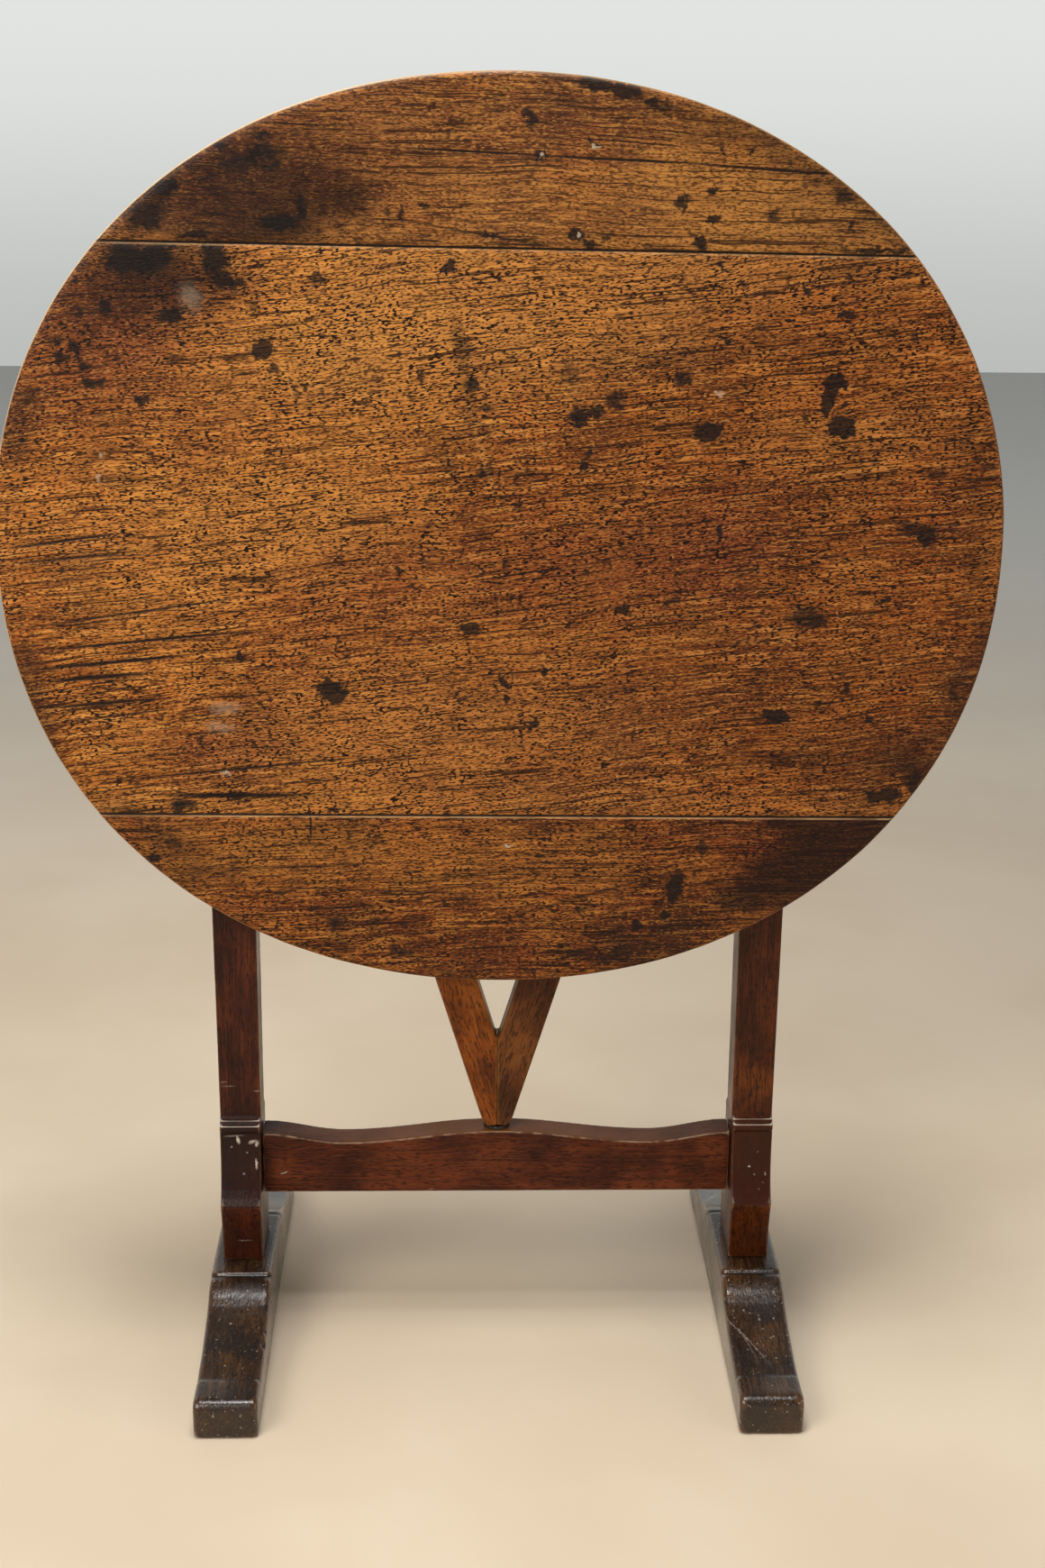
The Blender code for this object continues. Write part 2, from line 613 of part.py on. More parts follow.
def make_feet(base, dark_wood):
    feet = {}
    for side, sign in SIDES:
        body = slab(foot_outline(), -FOOT_WIDTH / 2, FOOT_WIDTH / 2, FOOT_EASE)
        feet[side] = piece(side + "_foot", body, base, dark_wood, (sign * UPRIGHT_PLACE, 0, 0), SIDE_PLANE)
    return feet


def block_side():
    """Half depth of an upright against height, from the foot up to the top of the moulded ledge."""
    seat = FOOT_SEAT_HEIGHT + FIT
    base = BLOCK_BASE_DEPTH / 2
    arris = BLOCK_ARRIS_DEPTH / 2
    face = BLOCK_FACE_DEPTH / 2
    shaft = UPRIGHT_DEPTH / 2
    arris_low = BLOCK_ARRIS_HEIGHT - BLOCK_ARRIS_FLAT
    step = LEDGE_HEIGHT - LEDGE_COVE
    fillet_top = step - LEDGE_STEP - LEDGE_SPLAY_DROP
    fillet = shaft + LEDGE_COVE + LEDGE_SPLAY_WIDTH
    fillet_low = fillet_top - LEDGE_FILLET
    face_top = fillet_low - LEDGE_QUIRK
    flare_top = face_top - BLOCK_FACE_HEIGHT
    points = bezier((base, seat), (base, (seat + 2 * arris_low) / 3), (arris, arris_low))
    points += bezier((arris, BLOCK_ARRIS_HEIGHT), (face, (2 * BLOCK_ARRIS_HEIGHT + flare_top) / 3),
                     (face, flare_top))
    points += [(face, face_top), (fillet, fillet_low), (fillet, fillet_top)]
    points += [(shaft + LEDGE_COVE, fillet_top + LEDGE_SPLAY_DROP)]
    points += arc((shaft + LEDGE_COVE, LEDGE_HEIGHT), LEDGE_COVE, 270, 180)
    return points


def upright_outline():
    """Side of an upright, with a top that is round in front, so that the planks can roll over it."""
    back = block_side()
    front = [(-y, z) for y, z in reversed(back)]
    shaft = UPRIGHT_DEPTH / 2
    roll_off = 180 - math.degrees(math.acos(shaft / UPRIGHT_TOP_RISE))
    top = [(shaft, HINGE_HEIGHT + UPRIGHT_TOP_RISE)]
    top += arc((0, HINGE_HEIGHT), UPRIGHT_TOP_RISE, 90, roll_off)
    return back + top + front


def widen_upwards(bm):
    """Taper of an upright's shaft, from its width at the ledge to its width at the top."""
    ledge = (0, LEDGE_HEIGHT, 0)
    bmesh.ops.bisect_plane(bm, geom=bm.verts[:] + bm.edges[:] + bm.faces[:], plane_co=ledge,
                           plane_no=(0, 1, 0))
    spread = (UPRIGHT_TOP_WIDTH - UPRIGHT_WIDTH) / 2
    height = HINGE_HEIGHT + UPRIGHT_TOP_RISE - LEDGE_HEIGHT
    for vertex in bm.verts:
        share = max(0.0, vertex.co.y - LEDGE_HEIGHT) / height
        vertex.co.z += math.copysign(spread * share, vertex.co.z)
    return bm


def make_uprights(base, dark_wood, peg_wood, feet):
    uprights = {}
    for side, sign in SIDES:
        place = sign * UPRIGHT_PLACE
        body = widen_upwards(slab(upright_outline(), -UPRIGHT_WIDTH / 2, UPRIGHT_WIDTH / 2, UPRIGHT_EASE))
        upright = piece(side + "_upright", body, base, dark_wood, (place, 0, 0), SIDE_PLANE)
        low = (place - FOOT_TENON_WIDTH / 2, -FOOT_TENON_DEPTH / 2, FOOT_SEAT_HEIGHT - FOOT_TENON_LENGTH)
        high = (place + FOOT_TENON_WIDTH / 2, FOOT_TENON_DEPTH / 2, FOOT_SEAT_HEIGHT + CUTTER_OVERRUN)
        tenon(side + "_foot_joint", base, low, high, upright, feet[side])
        height = FOOT_SEAT_HEIGHT - FOOT_TENON_LENGTH / 2
        outside = (place + sign * (FOOT_WIDTH / 2 + PEG_PROUD), 0, height)
        inside = (place - sign * FOOT_TENON_WIDTH, 0, height)
        peg(side + "_foot_peg", base, peg_wood, outside, inside, (upright, feet[side]))
        uprights[side] = upright
    return uprights


def stretcher_top(x):
    """Height of the scalloped edge: high at both ends, a dip each side, and a hump in the middle."""
    place = abs(x)
    if place < STRETCHER_DIP_PLACE:
        share = place / STRETCHER_DIP_PLACE
        high = STRETCHER_HUMP_HEIGHT
    else:
        share = (STRETCHER_HALF_LENGTH - place) / (STRETCHER_HALF_LENGTH - STRETCHER_DIP_PLACE)
        high = STRETCHER_END_HEIGHT
    swell = (1 + math.cos(math.pi * share)) / 2
    return STRETCHER_BOTTOM + STRETCHER_DIP_HEIGHT + (high - STRETCHER_DIP_HEIGHT) * swell


def rail_joint(rail, name, base, peg_wood, uprights, ends, heights, peg_depth):
    """Tenon and peg at each end of a rail. The pegs are driven in from the back."""
    for side, sign in SIDES:
        root = sign * (ends - CUTTER_OVERRUN)
        end = sign * (ends + FIT + RAIL_TENON_LENGTH)
        low = (min(root, end), -RAIL_TENON_THICKNESS / 2, heights[0])
        high = (max(root, end), RAIL_TENON_THICKNESS / 2, heights[1])
        tenon(side + name, base, low, high, rail, uprights[side])
        place = sign * (ends + RAIL_TENON_LENGTH / 2)
        height = (heights[0] + heights[1]) / 2
        peg(side + name + "_peg", base, peg_wood, (place, peg_depth + PEG_PROUD, height),
            (place, -RAIL_TENON_THICKNESS, height), (uprights[side], rail))


def make_stretcher(base, dark_wood, peg_wood, uprights):
    half = STRETCHER_HALF_LENGTH
    steps = 6 * CURVE_STEPS
    places = [half - 2 * half * i / steps for i in range(steps + 1)]
    outline = [(-half, STRETCHER_BOTTOM), (half, STRETCHER_BOTTOM)]
    outline += [(x, stretcher_top(x)) for x in places]
    body = slab(outline, -STRETCHER_THICKNESS / 2, STRETCHER_THICKNESS / 2, STRETCHER_EASE)
    stretcher = piece("stretcher", body, base, dark_wood, (0, 0, 0), FRONT_PLANE)
    middle = STRETCHER_BOTTOM + STRETCHER_END_HEIGHT / 2
    heights = (middle - STRETCHER_TENON_HEIGHT / 2, middle + STRETCHER_TENON_HEIGHT / 2)
    peg_depth = block_depth_at(middle)
    rail_joint(stretcher, "_stretcher", base, peg_wood, uprights, half, heights, peg_depth)
    return stretcher


def block_depth_at(height):
    """Half depth of an upright at a height below the top of its ledge."""
    side = block_side()
    for (low_depth, low), (high_depth, high) in zip(side, side[1:]):
        if low <= height < high:
            return low_depth + (high_depth - low_depth) * (height - low) / (high - low)
    return UPRIGHT_DEPTH / 2


def make_top_rail(base, dark_wood, peg_wood, uprights):
    half = TOP_RAIL_HALF_LENGTH
    outline = rectangle(-half, half, TOP_RAIL_BOTTOM, HINGE_HEIGHT)
    body = slab(outline, -TOP_RAIL_THICKNESS / 2, TOP_RAIL_THICKNESS / 2, RAIL_EASE)
    rail = piece("top_rail", body, base, dark_wood, (0, 0, 0), FRONT_PLANE)
    high = HINGE_HEIGHT - TOP_RAIL_TENON_DROP
    heights = (high - TOP_RAIL_TENON_HEIGHT, high)
    rail_joint(rail, "_top_rail", base, peg_wood, uprights, half, heights, UPRIGHT_DEPTH / 2)
    return rail


def make_pivot_pins(base, iron, uprights):
    """Headed iron pins, fixed in the uprights, that the cheeks turn on."""
    face = UPRIGHT_PLACE + UPRIGHT_TOP_WIDTH / 2
    under_head = CHEEK_OUTER + CHEEK_SIDE_GAP / 2
    lip = PIVOT_HEAD_THICKNESS / 4
    for side, sign in SIDES:
        start = (sign * (face - PIVOT_SEAT), 0, HINGE_HEIGHT)
        end = (sign * (under_head + PIVOT_HEAD_THICKNESS), 0, HINGE_HEIGHT)
        location, rotation, length = along(start, end)
        neck = length - PIVOT_HEAD_THICKNESS
        profile = [(PIVOT_RADIUS, 0), (PIVOT_RADIUS, neck), (PIVOT_HEAD_RADIUS, neck),
                   (PIVOT_HEAD_RADIUS, length - lip), (PIVOT_HEAD_RADIUS - lip, length)]
        piece(side + "_pivot_pin", turned(profile, PIN_SIDES), base, iron, location, rotation)
        bottom = (sign * (face - PIVOT_SEAT - FIT), 0, HINGE_HEIGHT)
        mouth = (sign * (face + CUTTER_OVERRUN), 0, HINGE_HEIGHT)
        bore(side + "_pivot_socket", base, bottom, mouth, PIVOT_RADIUS + FIT, (uprights[side],))


def gate_arm_outline(sign):
    """One arm of the V, from its tip on the washer to its shoulder under the head."""
    shoulder = GATE_HEIGHT - GATE_HEAD_HEIGHT - FIT
    outer_top = GATE_HEAD_HALF_LENGTH - GATE_HEAD_OVERHANG
    slope = (outer_top - GATE_FOOT_HALF_WIDTH) / (shoulder - GATE_FOOT_TAPER)
    level_width = GATE_ARM_WIDTH * math.hypot(1, slope)
    crotch = GATE_FOOT_TAPER + (level_width - GATE_FOOT_HALF_WIDTH) / slope
    seam = FIT / 2
    outline = [(seam, 0), (GATE_TIP_HALF_WIDTH, 0), (GATE_FOOT_HALF_WIDTH, GATE_FOOT_TAPER),
               (outer_top, shoulder), (outer_top - level_width, shoulder), (seam, crotch + seam / slope)]
    if sign < 0:
        outline = [(-x, z) for x, z in reversed(outline)]
    return outline, outer_top - level_width / 2


def make_gate(gate, gate_wood, peg_wood):
    """V-shaped gate: two arms that meet at a seam, with a head across them."""
    head_bottom = GATE_HEIGHT - GATE_HEAD_HEIGHT
    half = GATE_HEAD_HALF_LENGTH
    corner = GATE_HEAD_CORNER
    outline = [(-half, head_bottom), (half, head_bottom)]
    outline += arc((half - corner, GATE_HEIGHT - corner), corner, 0, 90)
    outline += arc((corner - half, GATE_HEIGHT - corner), corner, 90, 180)
    body = slab(outline, -GATE_THICKNESS / 2, GATE_THICKNESS / 2, GATE_EASE)
    head = piece("gate_bar", body, gate, gate_wood, (0, 0, 0), FRONT_PLANE)
    arms = []
    for side, sign in SIDES:
        outline, tenon_place = gate_arm_outline(sign)
        body = slab(outline, -GATE_THICKNESS / 2, GATE_THICKNESS / 2, GATE_EASE)
        arm = piece(side + "_gate_arm", body, gate, gate_wood, (0, 0, 0), FRONT_PLANE)
        place = sign * tenon_place
        low = (place - GATE_TENON_WIDTH / 2, -GATE_TENON_THICKNESS / 2, head_bottom - CUTTER_OVERRUN)
        high = (place + GATE_TENON_WIDTH / 2, GATE_TENON_THICKNESS / 2, head_bottom + GATE_TENON_LENGTH)
        tenon(side + "_gate_joint", gate, low, high, arm, head)
        height = head_bottom + GATE_TENON_LENGTH / 2
        start = (place, GATE_THICKNESS / 2 + PEG_PROUD, height)
        peg(side + "_bar_peg", gate, peg_wood, start, (place, -GATE_TENON_THICKNESS, height), (arm, head))
        arms.append(arm)
    reach = GATE_DOWEL_LENGTH / 2
    profile = [(GATE_DOWEL_RADIUS, 0), (GATE_DOWEL_RADIUS, GATE_DOWEL_LENGTH)]
    location, rotation, _ = along((-reach, 0, GATE_DOWEL_HEIGHT), (reach, 0, GATE_DOWEL_HEIGHT))
    piece("gate_dowel", turned(profile, PIN_SIDES), gate, peg_wood, location, rotation)
    bore("gate_dowel_hole", gate, (-reach - FIT, 0, GATE_DOWEL_HEIGHT), (reach + FIT, 0, GATE_DOWEL_HEIGHT),
         GATE_DOWEL_RADIUS + FIT, arms)
    return head, arms


def make_gate_pivots(base, gate, iron, head, arms, stretcher, rail):
    """Iron pins, fixed in the gate, that turn in the stretcher and the top rail."""
    washer_gap = GATE_FOOT_HEIGHT - STRETCHER_HUMP_TOP
    depth = washer_gap + GATE_PIN_IN_STRETCHER
    gate_pin("gate_lower_pin", gate, iron, -depth, GATE_PIN_IN_GATE)
    bore("gate_lower_seat", gate, (0, 0, -CUTTER_OVERRUN), (0, 0, GATE_PIN_IN_GATE + FIT),
         GATE_PIN_RADIUS + FIT, arms)
    bore("stretcher_socket", gate, (0, 0, -depth - FIT), (0, 0, 0),
         GATE_PIN_RADIUS + RUNNING_FIT, (stretcher,))
    rail_gap = GATE_HEIGHT + GATE_HEAD_GAP
    gate_pin("gate_upper_pin", gate, iron, GATE_HEIGHT - GATE_PIN_IN_HEAD, rail_gap + GATE_PIN_IN_RAIL)
    bore("gate_upper_seat", gate, (0, 0, GATE_HEIGHT - GATE_PIN_IN_HEAD - FIT),
         (0, 0, GATE_HEIGHT + CUTTER_OVERRUN), GATE_PIN_RADIUS + FIT, (head,))
    bore("rail_socket", gate, (0, 0, GATE_HEIGHT), (0, 0, rail_gap + GATE_PIN_IN_RAIL + FIT),
         GATE_PIN_RADIUS + RUNNING_FIT, (rail,))
    hole = GATE_PIN_RADIUS + RUNNING_FIT
    ring = [(hole, 0), (WASHER_RADIUS, 0), (WASHER_RADIUS, WASHER_THICKNESS), (hole, WASHER_THICKNESS)]
    piece("gate_washer", turned(ring, PIN_SIDES, hollow=True), base, iron, (0, 0, STRETCHER_HUMP_TOP + FIT))


def gate_pin(name, gate, iron, low, high):
    profile = [(GATE_PIN_RADIUS, 0), (GATE_PIN_RADIUS, high - low)]
    piece(name, turned(profile, PIN_SIDES), gate, iron, (0, 0, low))


def main():
    clear_scene()
    walnut = finish("waxed_walnut_top", "6F4325", 0.42)
    under_wood = finish("bare_walnut_underside", "5A3B25", 0.6)
    dark_wood = finish("dark_stained_walnut", "33211A", 0.45)
    foot_wood = finish("worn_black_brown_walnut", "2A1E1A", 0.5)
    gate_wood = finish("fruitwood_gate", "5B3722", 0.5)
    peg_wood = finish("oak_pegs", "4A3423", 0.55)
    iron = finish("forged_iron", "3B3835", 0.5, 0.9)

    base = frame("trestle", (0, 0, 0))
    top = frame("top_hinge", (0, 0, HINGE_HEIGHT), TIPPED_UPRIGHT)
    gate = frame("gate_axis", (0, 0, GATE_FOOT_HEIGHT))

    feet = make_feet(base, foot_wood)
    uprights = make_uprights(base, dark_wood, peg_wood, feet)
    stretcher = make_stretcher(base, dark_wood, peg_wood, uprights)
    rail = make_top_rail(base, dark_wood, peg_wood, uprights)
    make_pivot_pins(base, iron, uprights)

    planks = make_planks(top, walnut)
    make_battens(top, under_wood, iron, planks)
    cheeks = make_cheeks(top, under_wood, iron, planks)
    make_bearer(top, under_wood, peg_wood, iron, cheeks)

    head, arms = make_gate(gate, gate_wood, peg_wood)
    make_gate_pivots(base, gate, iron, head, arms, stretcher, rail)


main()
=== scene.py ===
"""Looks of a folding harvest table: an old waxed walnut top on a dark trestle with a swinging prop.

Lengths are metres in the frame of the solids: X along the stretcher, -Y the front, +Z up.
Patterns in the materials are laid out in millimetres.
"""

import math

import bmesh
import bpy
import numpy as np
from mathutils import Matrix, Vector, noise


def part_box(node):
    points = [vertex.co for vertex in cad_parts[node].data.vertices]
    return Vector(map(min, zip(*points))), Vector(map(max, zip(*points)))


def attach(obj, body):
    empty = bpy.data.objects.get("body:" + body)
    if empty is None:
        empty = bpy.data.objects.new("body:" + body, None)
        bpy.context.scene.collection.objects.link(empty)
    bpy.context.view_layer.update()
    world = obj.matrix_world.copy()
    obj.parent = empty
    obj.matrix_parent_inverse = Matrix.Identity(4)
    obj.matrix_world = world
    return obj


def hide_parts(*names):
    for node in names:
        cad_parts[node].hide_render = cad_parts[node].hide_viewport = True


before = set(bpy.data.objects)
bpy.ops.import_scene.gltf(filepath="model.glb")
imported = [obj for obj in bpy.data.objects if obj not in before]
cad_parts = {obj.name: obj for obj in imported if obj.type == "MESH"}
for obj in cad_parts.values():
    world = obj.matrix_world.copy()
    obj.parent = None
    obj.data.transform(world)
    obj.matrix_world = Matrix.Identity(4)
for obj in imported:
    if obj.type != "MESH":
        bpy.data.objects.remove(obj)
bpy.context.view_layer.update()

# Oval top, as it stands upright: its face looks forward
FACE = -0.072
UNDERSIDE = -0.050
OVAL_MIDDLE = 0.734
OVAL_HALF_LENGTH = 0.410
OVAL_HALF_WIDTH = 0.375
OVAL_SQUARENESS = 2.1
RIM_ROUND = 0.004
BACK_EASE = 0.0015
SEAM_GAP = 0.00015
SEAM_EASE = 0.0006
LOWER_SEAM = (0.511, math.radians(-0.25))
UPPER_SEAM = (0.977, math.radians(-0.64))
RIM_STEPS = 110
SEAM_STEPS = 64
ROUND_STEPS = 5
FLAT_MARGIN = 0.006
SMOOTH_ANGLE = math.radians(40)

# Patterns are laid out in millimetres. These are the first and last depth of each zone of the top's edge.
MM = 1000
ROUND_OVER = (-71.2, -69.5)
FRONT_EDGE = (-65.5, -68.0)
EDGE_BEHIND = (-68.5, -56.0)
BACK_FACE = (-53.5, -51.0)

# Heights on the trestle, in metres: the blocks that soot has blackened, and where the posts grow darker
# towards the foot
BLOCK_SOOT = (0.126, 0.196)
DARKER_TOWARD_FOOT = (0.12, 0.07)
# Distance from the middle of the rail where it is trodden most and least, in metres
TROD_PART = (0.05, 0.19)
# How near to a joint a point has to lie to be set flat against its neighbour, in metres
JOINT_REACH = 0.0016
# Height over its surroundings at which an edge counts as fully proud, in metres
FULLY_PROUD = 0.0012

# Turns that bring the grain of a piece onto the pattern's own X
ALONG_X = (0, 0, 0)
ALONG_Y = (0, 0, -math.pi / 2)
ALONG_Z = (0, math.pi / 2, 0)
GATE_LEAN = math.radians(16.3)

# Standing view from the front: place in metres, then yaw, pitch and roll in degrees, then millimetres
CAMERA_PLACE = (-0.03701, -1.80882, 1.101)
CAMERA_TURN = (1.821, 17.92, 0.609)
LENS = 49.92
SENSOR = 36

# The floor lies a hair under the soles
FLOOR_SIZE = 12
FLOOR_PLACE = (0, 1.0, -0.0004)

# Marks on the face, in millimetres from the oval's middle:
# across, up, half length, half height, turn in degrees, strength, softness
INK_BLOTS = {
    "upper": (
        (76, 364, 26.1, 4.6, -8, 0.97, 0.5), (91, 361, 12.4, 5.2, -5, 0.92, 0.5),
        (112, 353, 5.5, 3.9, 0, 0.97, 0.45), (124, 349, 8.3, 3.9, -10, 0.74, 0.6),
        (42, 355, 4.8, 4.6, 0, 0.44, 0.4), (20, 339, 4.8, 5.3, 20, 0.92, 0.5),
        (16, 344, 3.4, 3.3, 0, 0.68, 0.5), (28, 313, 4.8, 3.3, -10, 0.97, 0.35),
        (68, 321, 7.6, 2, 0, 0.97, 0.35), (136, 278, 4.9, 4, 0, 0.97, 0.4),
        (140, 282, 6.3, 2.7, 10, 0.62, 0.5), (160, 288, 4.2, 2.7, 0, 0.97, 0.4),
        (162, 266, 4.9, 2.7, 20, 0.97, 0.4), (152, 248, 5.6, 6.1, 0, 0.97, 0.4),
        (209, 269, 3.5, 5.4, -10, 0.68, 0.6), (168, 318, 2.1, 2, 0, 0.86, 0.4),
        (191, 317, 2.1, 2, 0, 0.97, 0.4), (262, 284, 7, 6.1, 0, 0.68, 0.7),
        (282, 268, 7, 2.7, 0, 0.62, 0.6), (270, 262, 3.5, 4.1, 0, 0.8, 0.5),
        (294, 243, 29.8, 2.7, -1, 0.92, 0.6), (56, 253, 5.6, 5.4, 0, 0.97, 0.4),
        (66, 247, 6.3, 4.1, 0, 0.92, 0.5), (79, 253, 4.2, 5.4, 0, 0.74, 0.5),
        (-62, 275, 5.6, 2.7, 0, 0.8, 0.5), (-80, 268, 3.5, 3.4, 0, 0.86, 0.4),
        (-92, 269, 4.2, 2.7, 0, 0.56, 0.6), (-12, 253, 9.8, 2, 0, 0.74, 0.5),
        (-263, 286, 12.4, 5.3, 15, 0.92, 0.6), (-277, 266, 18, 12.1, 15, 0.88, 0.7),
        (-209, 305, 13.8, 8, 0, 0.68, 0.8), (-187, 325, 8.2, 4.6, 0, 0.74, 0.7),
        (-186, 312, 15.1, 6, 0, 0.8, 0.7), (-180, 302, 11.7, 4, 0, 0.68, 0.7),
        (-175, 261, 15.3, 6.7, 0, 0.97, 0.5), (-158, 272, 4.2, 9.4, 0, 0.8, 0.6),
        (-217, 317, 6.9, 2.6, 10, 0.86, 0.5), (-231, 293, 6.9, 2.7, 10, 0.74, 0.6),
        (-243, 251, 12.5, 3.4, 5, 0.86, 0.6),
    ),
    "middle": (
        (-190, 163, 9.2, 8.4, 0, 0.97, 0.3), (-181, 150, 4.3, 6.3, -20, 0.74, 0.5),
        (-165, 130, 2.8, 9.9, 20, 0.62, 0.5), (-286, 123, 5.7, 5, 0, 0.97, 0.35),
        (-312, 196, 5.6, 5.5, 0, 0.97, 0.35), (-333, 194, 5.6, 4.8, 0, 0.74, 0.6),
        (-349, 157, 6.3, 5.6, 0, 0.97, 0.4), (-336, 162, 3.5, 9.1, 25, 0.86, 0.5),
        (-330, 150, 5.6, 3.5, -20, 0.86, 0.5), (-351, 170, 7, 4.9, 0, 0.62, 0.7),
        (-325, 137, 12, 3.5, -5, 0.8, 0.5), (-371, 131, 5.7, 4.2, 0, 0.68, 0.6),
        (-298, 233, 9.7, 13.6, 0, 0.97, 0.6), (-275, 233, 18.8, 12.2, 10, 0.97, 0.5),
        (-226, 233, 9.8, 16.3, 8, 0.97, 0.5), (-214, 215, 11.9, 6.2, -15, 0.97, 0.5),
        (-261, 189, 11.2, 6.2, 10, 0.92, 0.5), (-196, 197, 6.3, 5.5, 0, 0.56, 0.8),
        (-147, 219, 6.3, 5.5, 0, 0.74, 0.5), (-259, 156, 9.9, 3.5, 0, 0.62, 0.6),
        (-303, 156, 3.5, 3.5, 0, 0.5, 0.6), (-297, 179, 2.8, 2.8, 0, 0.62, 0.5),
        (-140, -115, 14.1, 10, -22, 0.97, 0.3), (-215, -86, 3, 4.6, 15, 0.97, 0.4),
        (-250, -156, 4.5, 2.3, 10, 0.74, 0.5), (-267, -213, 10.5, 5.6, 10, 0.97, 0.5),
        (-141, -220, 7.6, 2.4, 5, 0.97, 0.4), (-229, -205, 18.8, 3.2, 0, 0.97, 0.4),
        (60, 113, 7.9, 7.9, 0, 0.92, 0.45), (74, 117, 6.5, 4.3, 20, 0.97, 0.45),
        (90, 125, 8.6, 8.5, 0, 0.8, 0.7), (53, 146, 8.6, 8.5, 0, 0.62, 0.8),
        (143, 143, 7.9, 7.1, 0, 0.74, 0.6), (117, 146, 10, 3.5, 0, 0.5, 0.6),
        (164, 102, 12.3, 7.9, -5, 0.97, 0.5), (69, 82, 2.9, 5.8, -15, 0.74, 0.5),
        (65, 72, 4.3, 3.6, 0, 0.92, 0.5), (-11, 72, 3.6, 5.8, 0, 0.68, 0.5),
        (-18, 69, 3.6, 3.6, 0, 0.68, 0.5), (-42, 74, 12.3, 10.1, -10, 0.5, 0.7),
        (-26, 137, 6.4, 6.4, 0, 0.8, 0.6), (-28, 152, 9.3, 2.1, 0, 0.68, 0.5),
        (-30, 166, 5.7, 5.6, 0, 0.56, 0.7), (-15, 118, 8.6, 2.9, 5, 0.68, 0.6),
        (-66, 144, 2.8, 5.6, 0, 0.74, 0.4), (-70, 101, 2.2, 2.2, 0, 0.97, 0.3),
        (13, 39, 6.5, 3.7, 20, 0.62, 0.6), (-85, -13, 4.4, 3, -15, 0.86, 0.5),
        (-58, -7, 5.1, 4.5, 0, 0.44, 0.7), (-18, -12, 2.2, 2.2, 0, 0.86, 0.4),
        (2, -7, 2.9, 3.7, 0, 0.8, 0.4), (68, -13, 2.2, 2.2, 0, 0.97, 0.3),
        (99, -44, 5.9, 3.8, 0, 0.97, 0.4), (89, 28, 2.9, 4.4, 0, 0.62, 0.5),
        (8, -35, 2.2, 6, 0, 0.62, 0.5), (-25, -61, 9.6, 6.1, -15, 0.8, 0.5),
        (1, -106, 5.2, 4.6, 0, 0.97, 0.4), (4, -120, 3, 3.9, 0, 0.92, 0.4),
        (35, -98, 3, 2.3, 0, 0.97, 0.4), (28, -142, 4.5, 4.7, 0, 0.86, 0.5),
        (107, -113, 5.2, 4.6, 0, 0.56, 0.7), (82, -86, 5.2, 3.8, 10, 0.62, 0.6),
        (-36, -120, 10.5, 3.9, -10, 0.62, 0.7), (-50, -105, 16.4, 4.6, -5, 0.5, 0.8),
        (139, -38, 8.9, 3.8, 20, 0.68, 0.6), (263, 141, 10.1, 6.4, 10, 0.97, 0.25),
        (273, 139, 3.6, 4.3, 0, 0.97, 0.25), (259, 127, 5.5, 12, -8, 0.97, 0.25),
        (271, 106, 12.3, 9.3, -5, 0.97, 0.25), (189, 217, 3.5, 3.5, 0, 0.8, 0.5),
        (237, 213, 2.8, 4.2, 0, 0.97, 0.4), (272, 193, 7.9, 2.8, 0, 0.97, 0.4),
        (170, 230, 6.4, 2.1, -30, 0.86, 0.4), (146, 232, 2.8, 2.1, 0, 0.74, 0.4),
        (178, 172, 3.6, 2.1, 10, 0.97, 0.4), (202, 184, 5.7, 3.5, 15, 0.62, 0.6),
        (242, 111, 2.9, 2.9, 0, 0.8, 0.5), (295, 97, 2.9, 2.9, 0, 0.8, 0.5),
        (325, 178, 3.6, 3.5, 0, 0.74, 0.6), (359, 155, 3.6, 3.5, 0, 0.62, 0.5),
        (350, 68, 13.2, 5.8, 8, 0.56, 0.8), (390, 72, 7.3, 5.8, 0, 0.62, 0.7),
        (375, 105, 6.5, 10.8, 0, 0.44, 0.9), (215, 59, 4.4, 2.2, 0, 0.74, 0.5),
        (264, 47, 4.4, 2.9, 0, 0.56, 0.6), (335, 23, 17.7, 8.2, -5, 0.74, 0.6),
        (347, 14, 8.1, 6.7, 0, 0.74, 0.6), (361, 24, 13.3, 5.2, 5, 0.5, 0.8),
        (249, -51, 15.6, 10.6, 0, 0.74, 0.6), (260, -55, 6.7, 4.6, 0, 0.8, 0.5),
        (209, -58, 4.5, 4.6, 0, 0.56, 0.7), (176, 19, 3.7, 7.4, 0, 0.8, 0.6),
        (313, -37, 6.7, 2.3, 30, 0.86, 0.4), (287, -112, 4.5, 3.9, 0, 0.92, 0.4),
        (228, -135, 12.8, 5.5, -10, 0.97, 0.3), (307, -138, 6.1, 3.1, 0, 0.86, 0.4),
        (378, -116, 6.8, 4.7, -10, 0.8, 0.5), (349, -193, 6.1, 10.4, 0, 0.86, 0.5),
        (323, -205, 16.9, 6.4, 5, 0.97, 0.4), (360, -69, 9, 3.8, 10, 0.5, 0.7),
        (-44, 229, 5.6, 5.5, 0, 0.97, 0.3),
    ),
    "lower": (
        (-130, -266, 7.6, 6.5, 0, 0.56, 0.7), (-143, -320, 7.7, 7.4, 0, 0.62, 0.7),
        (-159, -306, 7.7, 3.3, 0, 0.74, 0.6), (-188, -293, 6.1, 3.3, 0, 0.68, 0.6),
        (-86, -347, 11.6, 5.8, -15, 0.74, 0.6), (-31, -298, 10.8, 5.8, 0, 0.5, 0.8),
        (-293, -261, 5.3, 4, 0, 0.86, 0.5), (-274, -249, 11.4, 4, -5, 0.56, 0.7),
        (149, -287, 7, 16.4, -14, 0.97, 0.4), (142, -314, 4.7, 4.1, 0, 0.86, 0.5),
